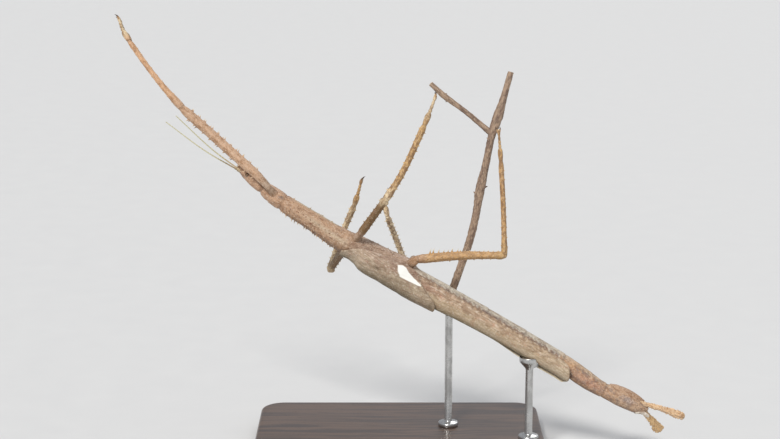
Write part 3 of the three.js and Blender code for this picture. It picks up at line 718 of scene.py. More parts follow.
# %% Legs by their joints
FORE_KEEL = (0.6, 0.1, 0.75)
LEGS = {
    "fore_right": dict(
        kind="fore", keel=FORE_KEEL, hip=[(-50.0, 4.2, 107.2), (-53.3, 1.6, 111.6)],
        thigh=[(-58.6, 2.6, 117.0), (-62.7, 3.7, 120.6), (-69.3, 6.1, 126.2), (-75.5, 8.2, 131.4),
               (-89.0, 11.0, 143.1)],
        shin=[(-97.6, 13.3, 152.6), (-104.6, 15.2, 161.4), (-110.7, 17.2, 169.8)],
        foot=[(-113.5, 18.4, 174.6), (-115.0, 19.4, 179.0)]),
    "fore_left": dict(
        kind="fore", keel=FORE_KEEL, hip=[(-50.0, 8.2, 106.2), (-53.5, 11.7, 109.4)],
        thigh=[(-58.8, 12.7, 115.0), (-62.9, 13.4, 118.5), (-69.7, 12.8, 124.7), (-75.7, 12.9, 130.4),
               (-89.1, 15.7, 142.0)],
        shin=[(-97.8, 17.7, 151.6), (-104.7, 19.3, 160.5), (-110.6, 21.0, 168.8)],
        foot=[(-113.4, 22.0, 173.6), (-115.0, 23.0, 177.6)]),
    "middle_right": dict(
        kind="middle", keel=(0.75, -0.2, -0.5), hip=[(-19.6, 0.4, 89.4), (-16.2, -3.6, 93.4)],
        thigh=[(-5.8, -15.9, 110.2)], shin=[(0.8, -9.6, 119.7), (9.8, 3.1, 136.9)],
        foot=[(12.9, 8.3, 143.7), (14.6, 11.0, 148.0)]),
    "middle_left": dict(
        kind="middle", keel=(-0.75, 0.2, 0.5), hip=[(-22.2, 3.6, 87.6), (-21.6, 8.4, 86.8)],
        thigh=[(-29.6, 28.9, 70.7)], shin=[(-25.0, 24.4, 85.4), (-19.0, 16.9, 101.0)],
        foot=[(-17.2, 15.0, 107.0), (-15.8, 14.0, 112.5)]),
    "hind_right": dict(
        kind="hind", keel=(0.0, -0.2, 1.0), hip=[(3.0, -2.2, 79.6), (7.0, -5.2, 83.4)],
        thigh=[(24.5, -5.6, 85.0), (42.5, -5.9, 85.2)], shin=[(42.1, -1.6, 103.1), (41.2, 4.0, 121.9)],
        foot=[(40.7, 6.4, 129.3), (40.3, 7.6, 134.0)]),
    "hind_left": dict(
        kind="hind", keel=(0.9, 0.3, 0.3), hip=[(2.8, 2.0, 78.6), (5.8, 6.8, 80.8)],
        thigh=[(5.6, 18.0, 76.4), (4.4, 36.2, 66.5)], shin=[(-0.3, 26.1, 81.8), (-5.0, 15.0, 96.7)],
        foot=[(-5.9, 15.1, 102.2), (-4.4, 15.1, 106.9)]),
}


def on_body(point):
    """The station and angle of the body that lie nearest to a point."""
    where = np.linspace(0, TAIL, 1941)
    origin, _, top, side = BODY_LINE.axes(where)
    nearest = np.argmin(np.linalg.norm(origin - point, axis=1))
    away = point - origin[nearest]
    return where[nearest], math.atan2(away @ side[nearest], away @ top[nearest])


hips = {name: on_body(leg["hip"][0]) for name, leg in LEGS.items()}
for name, (station, angle) in hips.items():
    print(f"{name}: station {station:.1f}, {math.degrees(angle):.0f} degrees from the back")

# %% [markdown]
# ## Skin relief of the body
# On the oval go the details that make it an animal: seams between the plates, keels along the
# flanks, furrows on the head and swellings where the legs join. Each adds or takes away a few
# tenths of a millimetre, so a table of ridges and furrows holds most of them.

# %% Relief of the body
SEAMS = {NECK: 0.8, WAIST: 0.6, MIDDLE_HIPS: 0.5, HIND_HIPS: 0.5, **dict.fromkeys(RING_ENDS, 0.55)}
SEAM_DEEP, SEAM_WIDE = 0.24, 0.42
RIDGES = {  # rise and fall along the body: height, degrees from the back and half width in degrees
    (4, 7, 12, 13): [(-0.12, 0, 5)],
    (8.5, 11.5, 12, 13): [(-0.14, 26, 6)],
    (6.5, 8, 12, 13): [(-0.12, 56, 6)],
    (13, 13.6, 22.4, 23): [(-0.13, 0, 6), (-0.14, 112, 7)],
    (23, 24.5, 80, 82): [(0.2, 0, 6), (0.16, 72, 8), (0.14, 142, 8), (-0.1, 180, 10), (-0.1, 104, 10)],
    (82, 85, 176, 186): [(0.28, 116, 6), (0.16, 152, 7)],
}
EYE_STATION, EYE_ANGLE = 4.6, 78.0
BROW, LIP_FURROW, NECK_PLATE, CROSS_FURROW, RING_FLARE, UNEVEN = 0.3, 0.2, 0.16, 0.2, 0.2, 0.07
HIP_SWELL, HIP_WIDE = 0.7, 3.2  # height and width of the swelling round each hip


def seam_depth(station):
    """How deep a place lies in a seam: 0 is away from every seam, and 1 would be the full depth."""
    return np.clip(sum(share * bump(station, seam, SEAM_WIDE) for seam, share in SEAMS.items()), 0, 1)


def from_hip(station, angle, hip, radius):
    """Millimetres from a hip, measured over the skin."""
    return np.hypot(station - hip[0], radius * np.radians(fold(angle - hip[1])))


def body_reach(station, angle):
    turn, plain = fold(angle), plain_reach(station, angle)
    reach = plain - SEAM_DEEP * seam_depth(station) + UNEVEN * ripple(station, angle, 4)
    for where, ridges in RIDGES.items():
        high = sum(height * bump(turn, degrees, wide) for height, degrees, wide in ridges)
        reach = reach + high * span(station, *where)
    brow = BROW * bump(station, EYE_STATION, 1.5) * bump(turn, EYE_ANGLE, 24)
    lip = LIP_FURROW * bump(station, 2.2, 0.5) * ramp(turn, 115, 150)
    reach = reach + (brow - lip) * (1 - ramp(station, NECK - 1, NECK))
    plate = span(station, NECK, NECK + 0.6, WAIST - 0.6, WAIST) * (1 - ramp(turn, 62, 74))
    reach = reach + plate * (NECK_PLATE - CROSS_FURROW * bump(station, 17.2, 0.5))
    for start, end in zip((HIND_HIPS, *RING_ENDS), (*RING_ENDS, TAIL)):
        share = np.clip((station - start) / (end - start), 0, 1)
        reach = reach + RING_FLARE * share**6 * (1 - ramp(share, 0.97, 1))
    for hip in hips.values():
        reach = reach + HIP_SWELL * bump(from_hip(station, angle, hip, plain), 0, HIP_WIDE)
    return reach


print("ridges and furrows:", sum(len(ridges) for ridges in RIDGES.values()))

# %% [markdown]
# ## The body's ground colours
# The tint is a slow change from plate to plate: pinkish tan on the head and thorax, a pale greenish
# band along the flank of the thorax, whitish belly, browner rings at the tail. Painted shade darkens
# the back, which faces down, on the thorax and the tail, and the thorax just in front of the wings;
# a painted shadow lies on the abdomen just behind the wings' end. Sharp detail is left to the
# finish. *mark* is high where the real skin is blotched.

# %% Body tint
PINK_TAN, BEIGE, SHADED = (0.53, 0.325, 0.2), (0.49, 0.305, 0.185), (0.24, 0.125, 0.058)
PALE_BAND, PALE_LINE, MAUVE_BROWN = (0.52, 0.4, 0.275), (0.55, 0.5, 0.34), (0.42, 0.285, 0.2)
WHITISH, FLANK_BROWN, RUSSET = (0.56, 0.5, 0.4), (0.33, 0.22, 0.15), (0.47, 0.275, 0.155)
TAIL_PINK, LILAC_GREY, APRICOT = (0.53, 0.345, 0.215), (0.46, 0.37, 0.34), (0.64, 0.4, 0.22)
CREAM_TOP, ROSE, WING_END_SHADOW = (0.74, 0.6, 0.42), (0.54, 0.31, 0.225), (0.06, 0.03, 0.02)
WING_STOP = (30, 48, 66, 82, 93), (161.0, 160.3, 159.4, 158.4, 157.0)  # degrees, end of the wing


def frayed(station, angle, degrees, seed):
    """The angle from the back, moved to and fro by some degrees, for borders that look torn."""
    return fold(angle) + degrees * ripple(2.5 * station, 2 * angle, seed)


def body_tint(station, angle):
    turn = fold(angle)
    on_thorax = span(station, 24, 30, 52, 58)
    belly = mix(FLANK_BROWN, WHITISH, ramp(frayed(station, angle, 26, 6), 114, 121))
    behind_wing = station - np.interp(turn, *WING_STOP)
    return layered(
        PINK_TAN,
        (BEIGE, ramp(station, 22, 30)),
        # painted shade on the thorax along the back, which faces down
        (SHADED, 0.7 * on_thorax * (1 - ramp(turn, 10, 52))),
        (PALE_BAND, 0.85 * on_thorax * ramp(station, 28, 40) * bump(turn, 86, 15)),
        (PALE_LINE, 0.8 * on_thorax * (1 - ramp(station, 44, 49)) * bump(turn, 160, 8)),
        # painted shade on the thorax just in front of the wings
        (SHADED, 0.55 * bump(station, 51, 3) * (1 - ramp(turn, 40, 75))),
        (MAUVE_BROWN, ramp(station, 52, 60)),
        (belly, ramp(station, 80, 88) * ramp(turn, 84, 96)),
        (RUSSET, ramp(station, 150, 160)),
        (CREAM_TOP, 0.6 * ramp(frayed(station, angle, 30, 12), 112, 128) * bump(station, 166, 10)),
        (ROSE, 0.6 * bump(station, 169, 8) * bump(turn, 76, 34)),
        # painted shadow on the abdomen just behind the wings' end
        (WING_END_SHADOW, 0.95 * bump(behind_wing, 0.5, 0.9) * bump(turn, 58, 30)),
        (TAIL_PINK, ramp(station, 172, 182)),
        # painted shade on the tail along the back, which faces down
        (SHADED, 0.3 * ramp(station, 160, 166) * (1 - ramp(turn, 20, 60))),
        (LILAC_GREY, 0.8 * bump(station, 185.5, 2.6) * bump(turn, 88, 22)),
        (APRICOT, 0.85 * bump(station, 157.5, 3.6) * bump(turn, 112, 20)))


def body_mark(station, angle):
    turn = fold(angle)
    head = bump(station, 7, 4) * bump(turn, 135, 22)
    neck = bump(station, 14, 3.5) * bump(turn, 124, 20) + bump(station, 19, 3.5) * bump(turn, 110, 16)
    flank = span(station, 84, 92, 160, 168) * bump(turn, 118, 14)
    tail = ramp(station, 158, 164)
    return np.clip(0.08 + 0.6 * head + 1.1 * neck + 0.6 * flank + 0.45 * tail, 0, 1)


print("tint at the head:", body_tint(4.0, 0.0).round(2))

# %% [markdown]
# ## The body's skin
# Head, thorax and abdomen are one closed tube, so no gap shows where the solids meet. Its rings are
# a third of a millimetre apart, close enough for the seams.

# %% Body skin
AROUND_BODY = 96
body = Skin()
body_spots = rings(0.0, TAIL, 0.36, dome_start=1.1, dome_end=1.3)
# groove lays painted shade along the seams between the plates.
tube(
    body, BODY_LINE, body_spots, AROUND_BODY, body_reach, body_tint,
    groove=lambda s, a: 0.45 * seam_depth(s), mark=body_mark)
print("body grid:", len(body_spots[0]), "rings of", AROUND_BODY)

# %% [markdown]
# ## Spines on the thorax
# The thorax bristles with short pale-tipped spines, in rows along its keels, with smaller ones
# scattered between. They lean back a little. They are part of the body's own mesh, with their feet
# sunk into it, so no gap shows.

# %% Body spines
SPINE_ROWS = [  # first station, last, degrees from the back, how many, height
    (25.0, 49.5, 20, 10, 1.25), (26.0, 48.5, 8, 7, 1.0), (26.5, 49.0, 46, 6, 0.6),
    (27.0, 49.5, 76, 5, 0.45), (26.0, 50.0, 118, 6, 0.4), (25.5, 49.5, 142, 7, 0.6),
    (27.0, 50.0, 166, 5, 0.6), (56.0, 79.0, 140, 8, 0.7), (57.0, 79.0, 162, 8, 0.8),
    (14.5, 21.8, 64, 4, 0.4), (14.5, 21.8, 24, 4, 0.35), (57.0, 78.0, 122, 7, 0.45),
]
GRANULES, GRANULE_TALL, GRANULE_RED = 170, 0.26, (0.26, 0.11, 0.06)
SPINE_WIDE, OFF_ROW, OFF_ANGLE = 0.42, 1.1, 6  # millimetres and degrees off its row
MIDDLE_RADIUS = 4.5  # of the thorax


def body_thorn(rng, station, degrees, tall, side, red=False):
    """One spine, a little off its row so that the rows don't look ruled. None stands on a hip."""
    station = station + rng.uniform(-OFF_ROW, OFF_ROW)
    angle = math.radians(side * (degrees + rng.uniform(-OFF_ANGLE, OFF_ANGLE)))
    tall = tall * rng.uniform(0.5, 1.3)
    if any(from_hip(station, angle, hip, MIDDLE_RADIUS) < HIP_WIDE for hip in hips.values()):
        return
    wide = SPINE_WIDE * (0.6 + 0.4 * tall)
    tint = GRANULE_RED if red else body_tint(station, angle)
    thorn(
        body, BODY_LINE, station, angle, body_reach(station, angle),
        (tall, wide, 0.8 * wide, 0.3 * tall), tint, (station, degrees, side), pale=0 if red else 1)


rng = np.random.default_rng(11)
for first, last, degrees, count, tall in SPINE_ROWS:
    for side in (1, -1):
        for station in np.linspace(first, last, count):
            body_thorn(rng, station, degrees, tall, side)
for _ in range(GRANULES):
    station = rng.uniform(25, 50) if rng.uniform() < 0.6 else rng.uniform(57, 79)
    degrees = rng.uniform(8 if station < MIDDLE_HIPS else 122, 172)
    red = station < MIDDLE_HIPS and degrees < 95
    body_thorn(rng, station, degrees, GRANULE_TALL, rng.choice((-1, 1)), red)

body.piece(
    "body_skin", body_skin, "body", "head", "prothorax", "mesothorax", "metathorax", "abdomen_1",
    "abdomen_2", "abdomen_3", "abdomen_4", "abdomen_5", "abdomen_tip")

# %% [markdown]
# ## Head: eyes
# The eyes bulge from the sides of the head, just behind the feelers. A ball of rings on an axis that
# points outward keeps their many lenses even. Three tiny simple eyes sit between them, as on most
# winged stick insects.

# %% Eyes
EYE_SIZE, EYE_OUT = (1.15, 1.0, 1.2), 0.55  # half sizes, and how far an eye stands out of the head
SIMPLE_SIZE, SIMPLE_SUNK = (0.2, 0.24, 0.24), 0.05
SIMPLE_EYES = ((3.5, 0.0), (4.2, 17.0), (4.2, -17.0))  # station and degrees from the back
EYE_TINT = (0.3, 0.2, 0.1)


def ball(skin, centre, axis, radii, tint, count, around):
    """A closed ball: radii are along its axis, up and across."""
    axis = axis / np.linalg.norm(axis)
    line = Line([centre - axis * radii[0], centre + axis * radii[0]])
    turn = np.radians(np.linspace(2, 178, count))
    spots = radii[0] * (1 - np.cos(turn)), np.sin(turn)
    tube(skin, line, spots, around, lambda w, a: oval(a, *radii[1:]), tint)


def eyeball(skin, station, degrees, reach, radii, count, around):
    centre = BODY_LINE.around(station, math.radians(degrees), reach)
    ball(skin, centre, centre - BODY_LINE.axes(station)[0], radii, EYE_TINT, count, around)


for side, name in ((1, "eye_right"), (-1, "eye_left")):
    eye = Skin()
    head_wall = plain_reach(EYE_STATION, math.radians(EYE_ANGLE))
    eyeball(eye, EYE_STATION, side * EYE_ANGLE, head_wall - EYE_SIZE[0] + EYE_OUT, EYE_SIZE, 26, 40)
    eye.piece(name, eye_gloss, "eye", name)

simple = Skin()
for station, degrees in SIMPLE_EYES:
    reach = body_reach(station, math.radians(degrees)) - SIMPLE_SUNK
    eyeball(simple, station, degrees, reach, SIMPLE_SIZE, 12, 16)
simple.piece("simple_eyes", eye_gloss, "eye")

# %% [markdown]
# ## Head: mouth
# Under the front of the head hang the lip plate, two jaws and four short jointed palps. They are
# one piece, made of tubes in the head's own directions.

# %% Mouth
HEAD_TINT, JAW_TINT, PALP_TINT = (0.5, 0.31, 0.19), (0.36, 0.2, 0.11), (0.58, 0.4, 0.26)
LIP = [(2.6, 180, 1.7), (0.9, 180, 2.35), (0.2, 180, 2.5, 1.25)]
MOUTH_LIMBS = [  # (station, degrees, reach, forward) of each point, radius, beads, colour, end
    ([(3.4, 142, 2.2), (1.8, 150, 2.9), (0.4, 172, 3.15, 0.7)], 0.62, 1, JAW_TINT, 0.55),
    ([(2.2, 158, 2.7), (0.8, 156, 3.3), (0.2, 152, 3.2, 1.6), (0.2, 150, 2.7, 2.6)], 0.27, 4,
     PALP_TINT, 0.7),
    ([(2.6, 170, 2.8), (1.4, 170, 3.5), (0.3, 168, 3.5, 0.4)], 0.22, 3, PALP_TINT, 0.7),
]


def head_point(station, degrees, reach, forward=0.0):
    """A point by station, angle and distance from the head's line, moved forward in millimetres."""
    point = BODY_LINE.around(station, math.radians(degrees), reach)
    return point - forward * BODY_LINE.axes(station)[1]


def beaded(skin, points, radius, beads, tint, end):
    """A limb of a few beads, such as a palp, that gets thinner to its end."""
    line = Line(points)

    def reach(w, a):
        share = np.clip(w / line.long, 0, 1)
        bead = 0.86 + 0.14 * np.abs(np.sin(np.pi * beads * share)) ** 0.5
        return radius * between(1.0, end, share) * bead

    dome = radius * end * 0.8
    tube(skin, line, rings(0, line.long, 0.09, dome, dome), 14, reach, tint)


mouth = Skin()
lip = Line([head_point(*place) for place in LIP])
# groove lays a line of painted shade across the lip plate.
tube(
    mouth, lip, rings(0, lip.long, 0.12, 0.4, 0.3), 28, lambda w, a: oval(a, 0.62, 1.35 - 0.16 * w),
    HEAD_TINT, groove=lambda w, a: 0.8 * bump(w, 1.5, 0.12))
for side in (1, -1):
    for places, *sizes in MOUTH_LIMBS:
        points = [head_point(station, side * degrees, *more) for station, degrees, *more in places]
        beaded(mouth, points, *sizes)
mouth.piece("mouthparts", body_skin, "body", "mouthparts")

# %% [markdown]
# ## Head: feelers
# Each feeler has a stout first joint, a bead, and then a thread of many fine joints. The thread is
# thinner than the solid behind it, which has to stay thick enough to be made.

# %% Feelers
FEELERS = {
    "feeler_right": [(-65.4, 7.0, 118.0), (-76.6, 8.2, 126.3), (-91.4, 9.9, 140.0)],
    "feeler_left": [(-65.8, 9.6, 117.2), (-80.2, 11.5, 125.4), (-96.2, 15.3, 136.6)],
}
FEELER_TINT = (0.7, 0.6, 0.4)
FEELER_JOINT = 1.3  # length of one fine joint
feeler_size = smooth([
    (-1.2, 0.62), (0.9, 0.6), (1.25, 0.36), (1.9, 0.44), (2.3, 0.3), (9, 0.25), (32, 0.17)])


def feeler_reach(w, a):
    joint = np.mod(w, FEELER_JOINT) / FEELER_JOINT
    return feeler_size(w) * (1 + 0.13 * ramp(w, 2.2, 3.2) * ramp(joint, 0.3, 0.9))


for name, points in FEELERS.items():
    feeler, line = Skin(), Line(points)
    tube(
        feeler, line, rings(-1.0, line.long, 0.16, 0.4, 0.15), 14, feeler_reach, FEELER_TINT,
        tip=lambda w, a: ramp(w, 1, 14))
    feeler.piece(name, feeler_horn, "feeler", name)

# %% [markdown]
# ## Legs
# A leg is a row of four tubes that reach into one another: hip, thigh, shin and foot. They are one
# mesh, so no gap shows at a joint. Thigh and shin are squarish in section, with rows of thorns along
# their keels, and the foot has five joints and a pad. Here are the half sizes, thorns and colours.

# %% Sizes and colours of the legs
LEG_SQUEEZE = 0.86  # width of a leg for its height
LEG_SIZES = {  # half heights by the share of a part's length
    "fore": dict(
        hip=1.7, flare=0.7, foot=0.95,
        thigh=smooth([(0, 1.2), (0.12, 1.45), (0.35, 1.85), (0.8, 1.85), (0.95, 1.75), (1, 1.3)]),
        shin=smooth([(0, 1.25), (0.06, 1.5), (0.3, 1.15), (0.7, 0.95), (0.95, 0.95), (1, 0.75)])),
    "middle": dict(
        hip=1.9, flare=1.25, foot=1.0,
        thigh=smooth([(0, 1.3), (0.1, 1.6), (0.6, 1.45), (0.88, 1.4), (0.96, 1.8), (1, 1.3)]),
        shin=smooth([(0, 1.25), (0.06, 1.5), (0.2, 1.25), (0.7, 1.2), (0.95, 1.25), (1, 0.95)])),
    "hind": dict(
        hip=2.0, flare=0.95, foot=0.95,
        thigh=smooth([(0, 1.55), (0.08, 1.85), (0.5, 1.75), (0.88, 1.5), (0.96, 1.65), (1, 1.2)]),
        shin=smooth([(0, 1.2), (0.06, 1.45), (0.2, 1.2), (0.8, 1.15), (0.95, 1.2), (1, 0.9)])),
}
foot_size = smooth([  # a long stout first joint, three short ones and the last
    (0, 0.8), (0.12, 1.1), (0.3, 1.25), (0.41, 1.0), (0.46, 0.62), (0.52, 0.78), (0.58, 0.56),
    (0.65, 0.72), (0.71, 0.52), (0.78, 0.64), (0.83, 0.5), (0.94, 0.74), (1, 0.6)])
LEG_THORNS = {  # first share, last, how many, height, and the degrees from the keel of each row
    "fore": {
        "thigh": [(0.2, 0.93, 11, 1.15, 0), (0.16, 0.9, 10, 1.0, 180), (0.25, 0.95, 9, 0.45, 60, -60),
                  (0.3, 0.9, 8, 0.4, 130, -130)],
        "shin": [(0.1, 0.9, 9, 0.3, 0), (0.12, 0.92, 9, 0.3, 180)]},
    "middle": {
        "thigh": [(0.25, 0.9, 7, 0.55, 0), (0.3, 0.92, 6, 0.7, 180), (0.3, 0.9, 6, 0.35, 75, -75)],
        "shin": [(0.08, 0.92, 11, 0.7, 0), (0.1, 0.95, 10, 0.75, 180), (0.1, 0.9, 8, 0.4, 80, -80)]},
    "hind": {
        "thigh": [(0.15, 0.46, 7, 1.85, 0), (0.5, 0.93, 9, 0.8, 0), (0.2, 0.92, 9, 0.55, 180),
                  (0.2, 0.9, 9, 0.45, 70, -70)],
        "shin": [(0.08, 0.94, 13, 0.8, 0), (0.1, 0.95, 12, 0.85, 180), (0.1, 0.9, 9, 0.4, 80, -80)]},
}
TAN, ORANGE_TAN, RED_TAN = (0.6, 0.38, 0.16), (0.58, 0.345, 0.15), (0.57, 0.34, 0.145)
CREAM, PALE_SHIN_LIT, FORE_SHIN = (0.76, 0.6, 0.38), (1.0, 0.84, 0.58), (0.72, 0.43, 0.24)
SHADED_BROWN, PINKISH, DUSKY = (0.215, 0.12, 0.042), (0.6, 0.385, 0.245), (0.46, 0.33, 0.235)
FORE_LOOKS = (DUSKY, PINKISH, PINKISH, FORE_SHIN, CREAM, 0.15, 0.2)
LEG_LOOKS = {  # colours of hip, thigh, knee, shin and foot, and how blotched thigh and shin are
    "fore_right": FORE_LOOKS,
    "fore_left": FORE_LOOKS,
    # the middle thighs' dark brown is partly painted shade
    "middle_right": (MAUVE_BROWN, SHADED_BROWN, CREAM, TAN, CREAM, 0.6, 0.95),
    "middle_left": (MAUVE_BROWN, SHADED_BROWN, CREAM, CREAM, TAN, 0.5, 0.8),
    "hind_right": (RUSSET, ORANGE_TAN, TAN, RED_TAN, TAN, 0.5, 0.8),
    # the far hind shin is brightened to full cream as painted light, since it faces away from the key
    # lamp
    "hind_left": (MAUVE_BROWN, TAN, CREAM, PALE_SHIN_LIT, CREAM, 0.5, 0.9),
}
print("leg kinds:", ", ".join(LEG_SIZES))

# %% [markdown]
# ## Parts of a leg
# Each part is a tube whose section is an oval with slightly flattened sides. Its thorns lean towards
# the foot and stray a little from their rows. The foot ends in two hooks, which are horn and so a
# piece of their own.

# %% Limbs, thorns and claws
KNOBBLY, THORN_LEAN = 0.05, 0.35  # shares of a limb's size and of a thorn's height


def limb(skin, line, size, tint, mark, seed, step=0.22, square=0.06, dome=0.85, back=0.0, seam=1.0):
    """One part of a leg. size and tint are read by the share of its length."""
    def share(w):
        return np.clip(w / line.long, 0, 1)

    def reach(w, a):
        half = size(share(w))
        plain = oval(a, half, LEG_SQUEEZE * half) * (1 + square * np.cos(4 * a))
        return plain * (1 + KNOBBLY * ripple(2.1 * w, a, seed))

    tube(
        # groove lays painted shade at the joints, where one part reaches into the next.
        skin, line, rings(-back, line.long, step, size(0) * dome, size(1) * dome), 28, reach,
        lambda w, a: tint(share(w)), shift=17.0 * seed, mark=mark,
        groove=lambda w, a: seam * (0.55 * bump(w, 0.35, 0.3) + 0.4 * bump(w, line.long, 0.35)))
    return reach


def limb_thorns(skin, line, reach, rows, tint, rng):
    for first, last, count, tall, *angles in rows:
        for degrees in angles:
            for share in np.linspace(first, last, count):
                where = (share + rng.uniform(-0.012, 0.012)) * line.long
                angle = math.radians(degrees + rng.uniform(-7, 7))
                high = tall * rng.uniform(0.7, 1.2)
                wide = 0.28 + 0.14 * high
                size = (high, wide, 0.62 * wide, THORN_LEAN * high)
                thorn(
                    skin, line, where, angle, reach(where, angle), size, tint(share),
                    (where, high, degrees))


def claw_pair(name, origin, along, top, side, thick):
    """Two hooks that spread from the end of the foot."""
    pair = Skin()
    share = np.linspace(0, 1, 5)[:, None]
    hook_size = smooth([(0, 0.4), (0.5, 0.32), (1, 0.07)])
    for hand in (-1, 1):
        root = origin - 0.5 * along + 0.3 * hand * side
        middle = root + 1.6 * along + 0.6 * hand * side
        tip = middle + 0.7 * along - 0.9 * top
        curve = (1 - share) ** 2 * root + 2 * share * (1 - share) * middle + share**2 * tip
        hook = Line(curve, top)
        tube(
            pair, hook, rings(0, hook.long, 0.12, 0.3, 0.05), 14,
            lambda w, a: thick * hook_size(w / hook.long), TAN,
            tip=lambda w, a: ramp(w / hook.long, 0.2, 0.75))
    pair.piece(name, claw_horn, "leg")


print("a leg's thorns lean by", THORN_LEAN, "of their height")

# %% [markdown]
# ## Six legs
# The four parts of a leg follow one another along the same joints. Each fades from the colour of the
# part before into its own, so the joints look grown rather than painted.

# %% Building the legs
def make_leg(name, leg, seed):
    sizes, thorns = LEG_SIZES[leg["kind"]], LEG_THORNS[leg["kind"]]
    hip_tint, thigh, knee, shin, foot, thigh_blotched, shin_blotched = LEG_LOOKS[name]
    hip, ground = sizes["hip"], body_tint(*hips[name])
    hip_size = smooth([(0, sizes["flare"] * hip), (0.45, 0.92 * hip), (1, 0.76 * hip)])
    parts = {  # size, tint, blotches and what is special
        "hip": (
            hip_size, lambda s: mix(ground, hip_tint, ramp(s, 0.3, 0.8)), 0.6,
            dict(square=0.02, dome=0.8, back=0.6, seam=0.3)),
        "thigh": (
            sizes["thigh"],
            lambda s: layered(hip_tint, (thigh, ramp(s, 0.02, 0.16)), (knee, ramp(s, 0.8, 0.97))),
            thigh_blotched, dict(seam=0.6)),
        "shin": (sizes["shin"], lambda s: mix(knee, shin, ramp(s, 0.03, 0.25)), shin_blotched, {}),
        "foot": (
            lambda s: foot_size(s) * sizes["foot"], lambda s: mix(shin, foot, ramp(s, 0, 0.4)), 0.8,
            dict(step=0.12, square=0.0, dome=0.7)),
    }
    skin, rng, start = Skin(), np.random.default_rng(seed), []
    for number, (part, (size, tint, mark, special)) in enumerate(parts.items()):
        line = Line([*start, *leg[part]], leg["keel"])
        reach = limb(skin, line, size, tint, mark, seed + number, **special)
        limb_thorns(skin, line, reach, thorns.get(part, ()), tint, rng)
        start = leg[part][-1:]
    origin, along, top, side = line.axes(line.long)
    ball(skin, origin + 0.35 * along - 0.25 * top, along, (0.6, 0.42, 0.5), CREAM, 12, 18)
    solids = [f"{part}_{name}" for part in ("coxa", "femur", "tibia", "tarsus")]
    skin.piece(f"leg_{name}", leg_skin, "leg", *solids)
    claw_pair(f"claws_{name}", origin, along, top, side, sizes["foot"])


for number, (name, leg) in enumerate(LEGS.items()):
    make_leg(name, leg, seed=20 + 5 * number)

# %% [markdown]
# ## Folded wings
# At rest the hind wings lie along the abdomen, from the ridge over the back down to the flank. Only
# their leathery front edge shows. Each is a thin curved plate: an outer and an inner face that meet
# in a rounded rim. The forewings and the tail's plates are made the same way.

# %% Plates
RIM = 0.45  # how far in from its edge a plate reaches full thickness
THINNEST = 0.06  # share of the thickness left at the very edge
MID_SLIT = 2.6  # degrees from the middle of the back to a wing's inner edge


def plate(skin, stations, edges, outer, inner, across, tint, **marks):
    """A curved plate. edges(station) gives its two angles, outer and inner the reach of its faces."""
    first, last = (edge[:, None] for edge in edges(stations))
    even = np.linspace(0, 1, across)
    share = 0.5 * even + 0.25 * (1 - np.cos(np.pi * even))  # closer together near the edges
    angle = first + (last - first) * share
    w = np.broadcast_to(stations[:, None], angle.shape)
    out, under = outer(w, angle), inner(w, angle)
    from_sides = np.minimum(share, 1 - share) * out * np.abs(last - first)
    from_ends = np.minimum(w - stations[0], stations[-1] - w)
    near = np.clip(np.minimum(from_sides, from_ends) / RIM, 0, 1)
    half = (out - under) / 2 * np.clip(np.sqrt(1 - (1 - near) ** 2), THINNEST, 1)
    middle = (out + under) / 2
    w, a = np.hstack([w, w]), np.hstack([angle, angle[:, ::-1]])
    reach = np.hstack([middle + half, (middle - half)[:, ::-1]])
    straight = np.stack([w, reach * a, np.zeros_like(w)], -1)
    marks = {name: asked(value, w, a) for name, value in marks.items()}
    skin.grid(BODY_LINE.around(w, a, reach), straight, asked(tint, w, a), zipped=True, **marks)


def one_side(side, flank):
    """A wing's edges on the right (1) or left (-1), from near the middle of the back to the flank."""
    def edges(stations):
        low, high = np.radians(MID_SLIT) + 0 * stations, np.radians(flank(stations))
        return (low, high) if side > 0 else (-high, -low)
    return edges


print("a plate's rim is", RIM, "mm wide")

# %% [markdown]
# ## Hind wings: form
# The folded wing follows the abdomen and rises to a ridge over the back. Raised veins run along it,
# a little wavy, and a thicker one borders it at the flank.

# %% Form of the hind wings
WING_FRONT, WING_END, WING_STEP = 61.0, 161.0, 0.4
WING_GAP, WING_THICK = 0.3, 0.65
wing_table = smooth([  # station, ridge height over the body line, flank edge in degrees
    (61, 5.2, 70), (64, 5.5, 88), (70, 6.4, 108), (80, 7.4, 114), (92, 7.7, 112), (100, 7.4, 108),
    (108, 6.9, 107), (126, 6.3, 106), (148, 5.9, 102), (155, 5.55, 98), (157, 5.45, 93),
    (158.4, 5.35, 82), (159.4, 5.25, 66), (160.3, 5.15, 48), (161.0, 5.1, 30),
])
WING_VEINS = (16, 29, 41, 53, 64, 74, 84, 93)  # degrees from the middle of the back
VEIN_HIGH, EDGE_VEIN_HIGH = 0.07, 0.14
END_LIFT = 0.3  # the wing's end stands off the body
FAR_EDGE = 1.1  # how far the left wing's ridge shows beyond the right one's


def wing_reach(station, angle):
    """The folded wing's outer face without its veins."""
    under = plain_reach(station, angle) + WING_GAP + WING_THICK
    peak = wing_table(station)[0] - plain_reach(station, 0 * station) - WING_GAP - WING_THICK
    return under + np.maximum(0, peak) * np.maximum(0, np.cos(angle)) ** 2


def wing_veins(station, angle):
    turn, flank = fold(angle), wing_table(station)[1]
    raised = EDGE_VEIN_HIGH * bump(turn, flank - 2.5, 2.4)
    for k, vein in enumerate(WING_VEINS):
        wave = 1.3 * np.sin(0.11 * station + 2.1 * k) + 0.5 * np.sin(0.37 * station + k)
        high = VEIN_HIGH * (0.5 if k % 2 else 1.0)
        raised = raised + high * bump(turn, vein * flank / 106 + wave, 1.3)
    return raised


def wing_middle(station, angle, far):
    """The smooth outer face, lifted at its end. A far wing's ridge stands beyond the near one's."""
    turn = fold(angle)
    lift = END_LIFT * ramp(station, 152, 160.5) * (1 - 0.4 * ramp(turn, 60, 100))
    beyond = far * FAR_EDGE * span(station, 124, 140, 159, 161) * bump(turn, 2.6, 7)
    return wing_reach(station, angle) + lift + beyond


print("hind wings:", WING_END - WING_FRONT, "mm long")
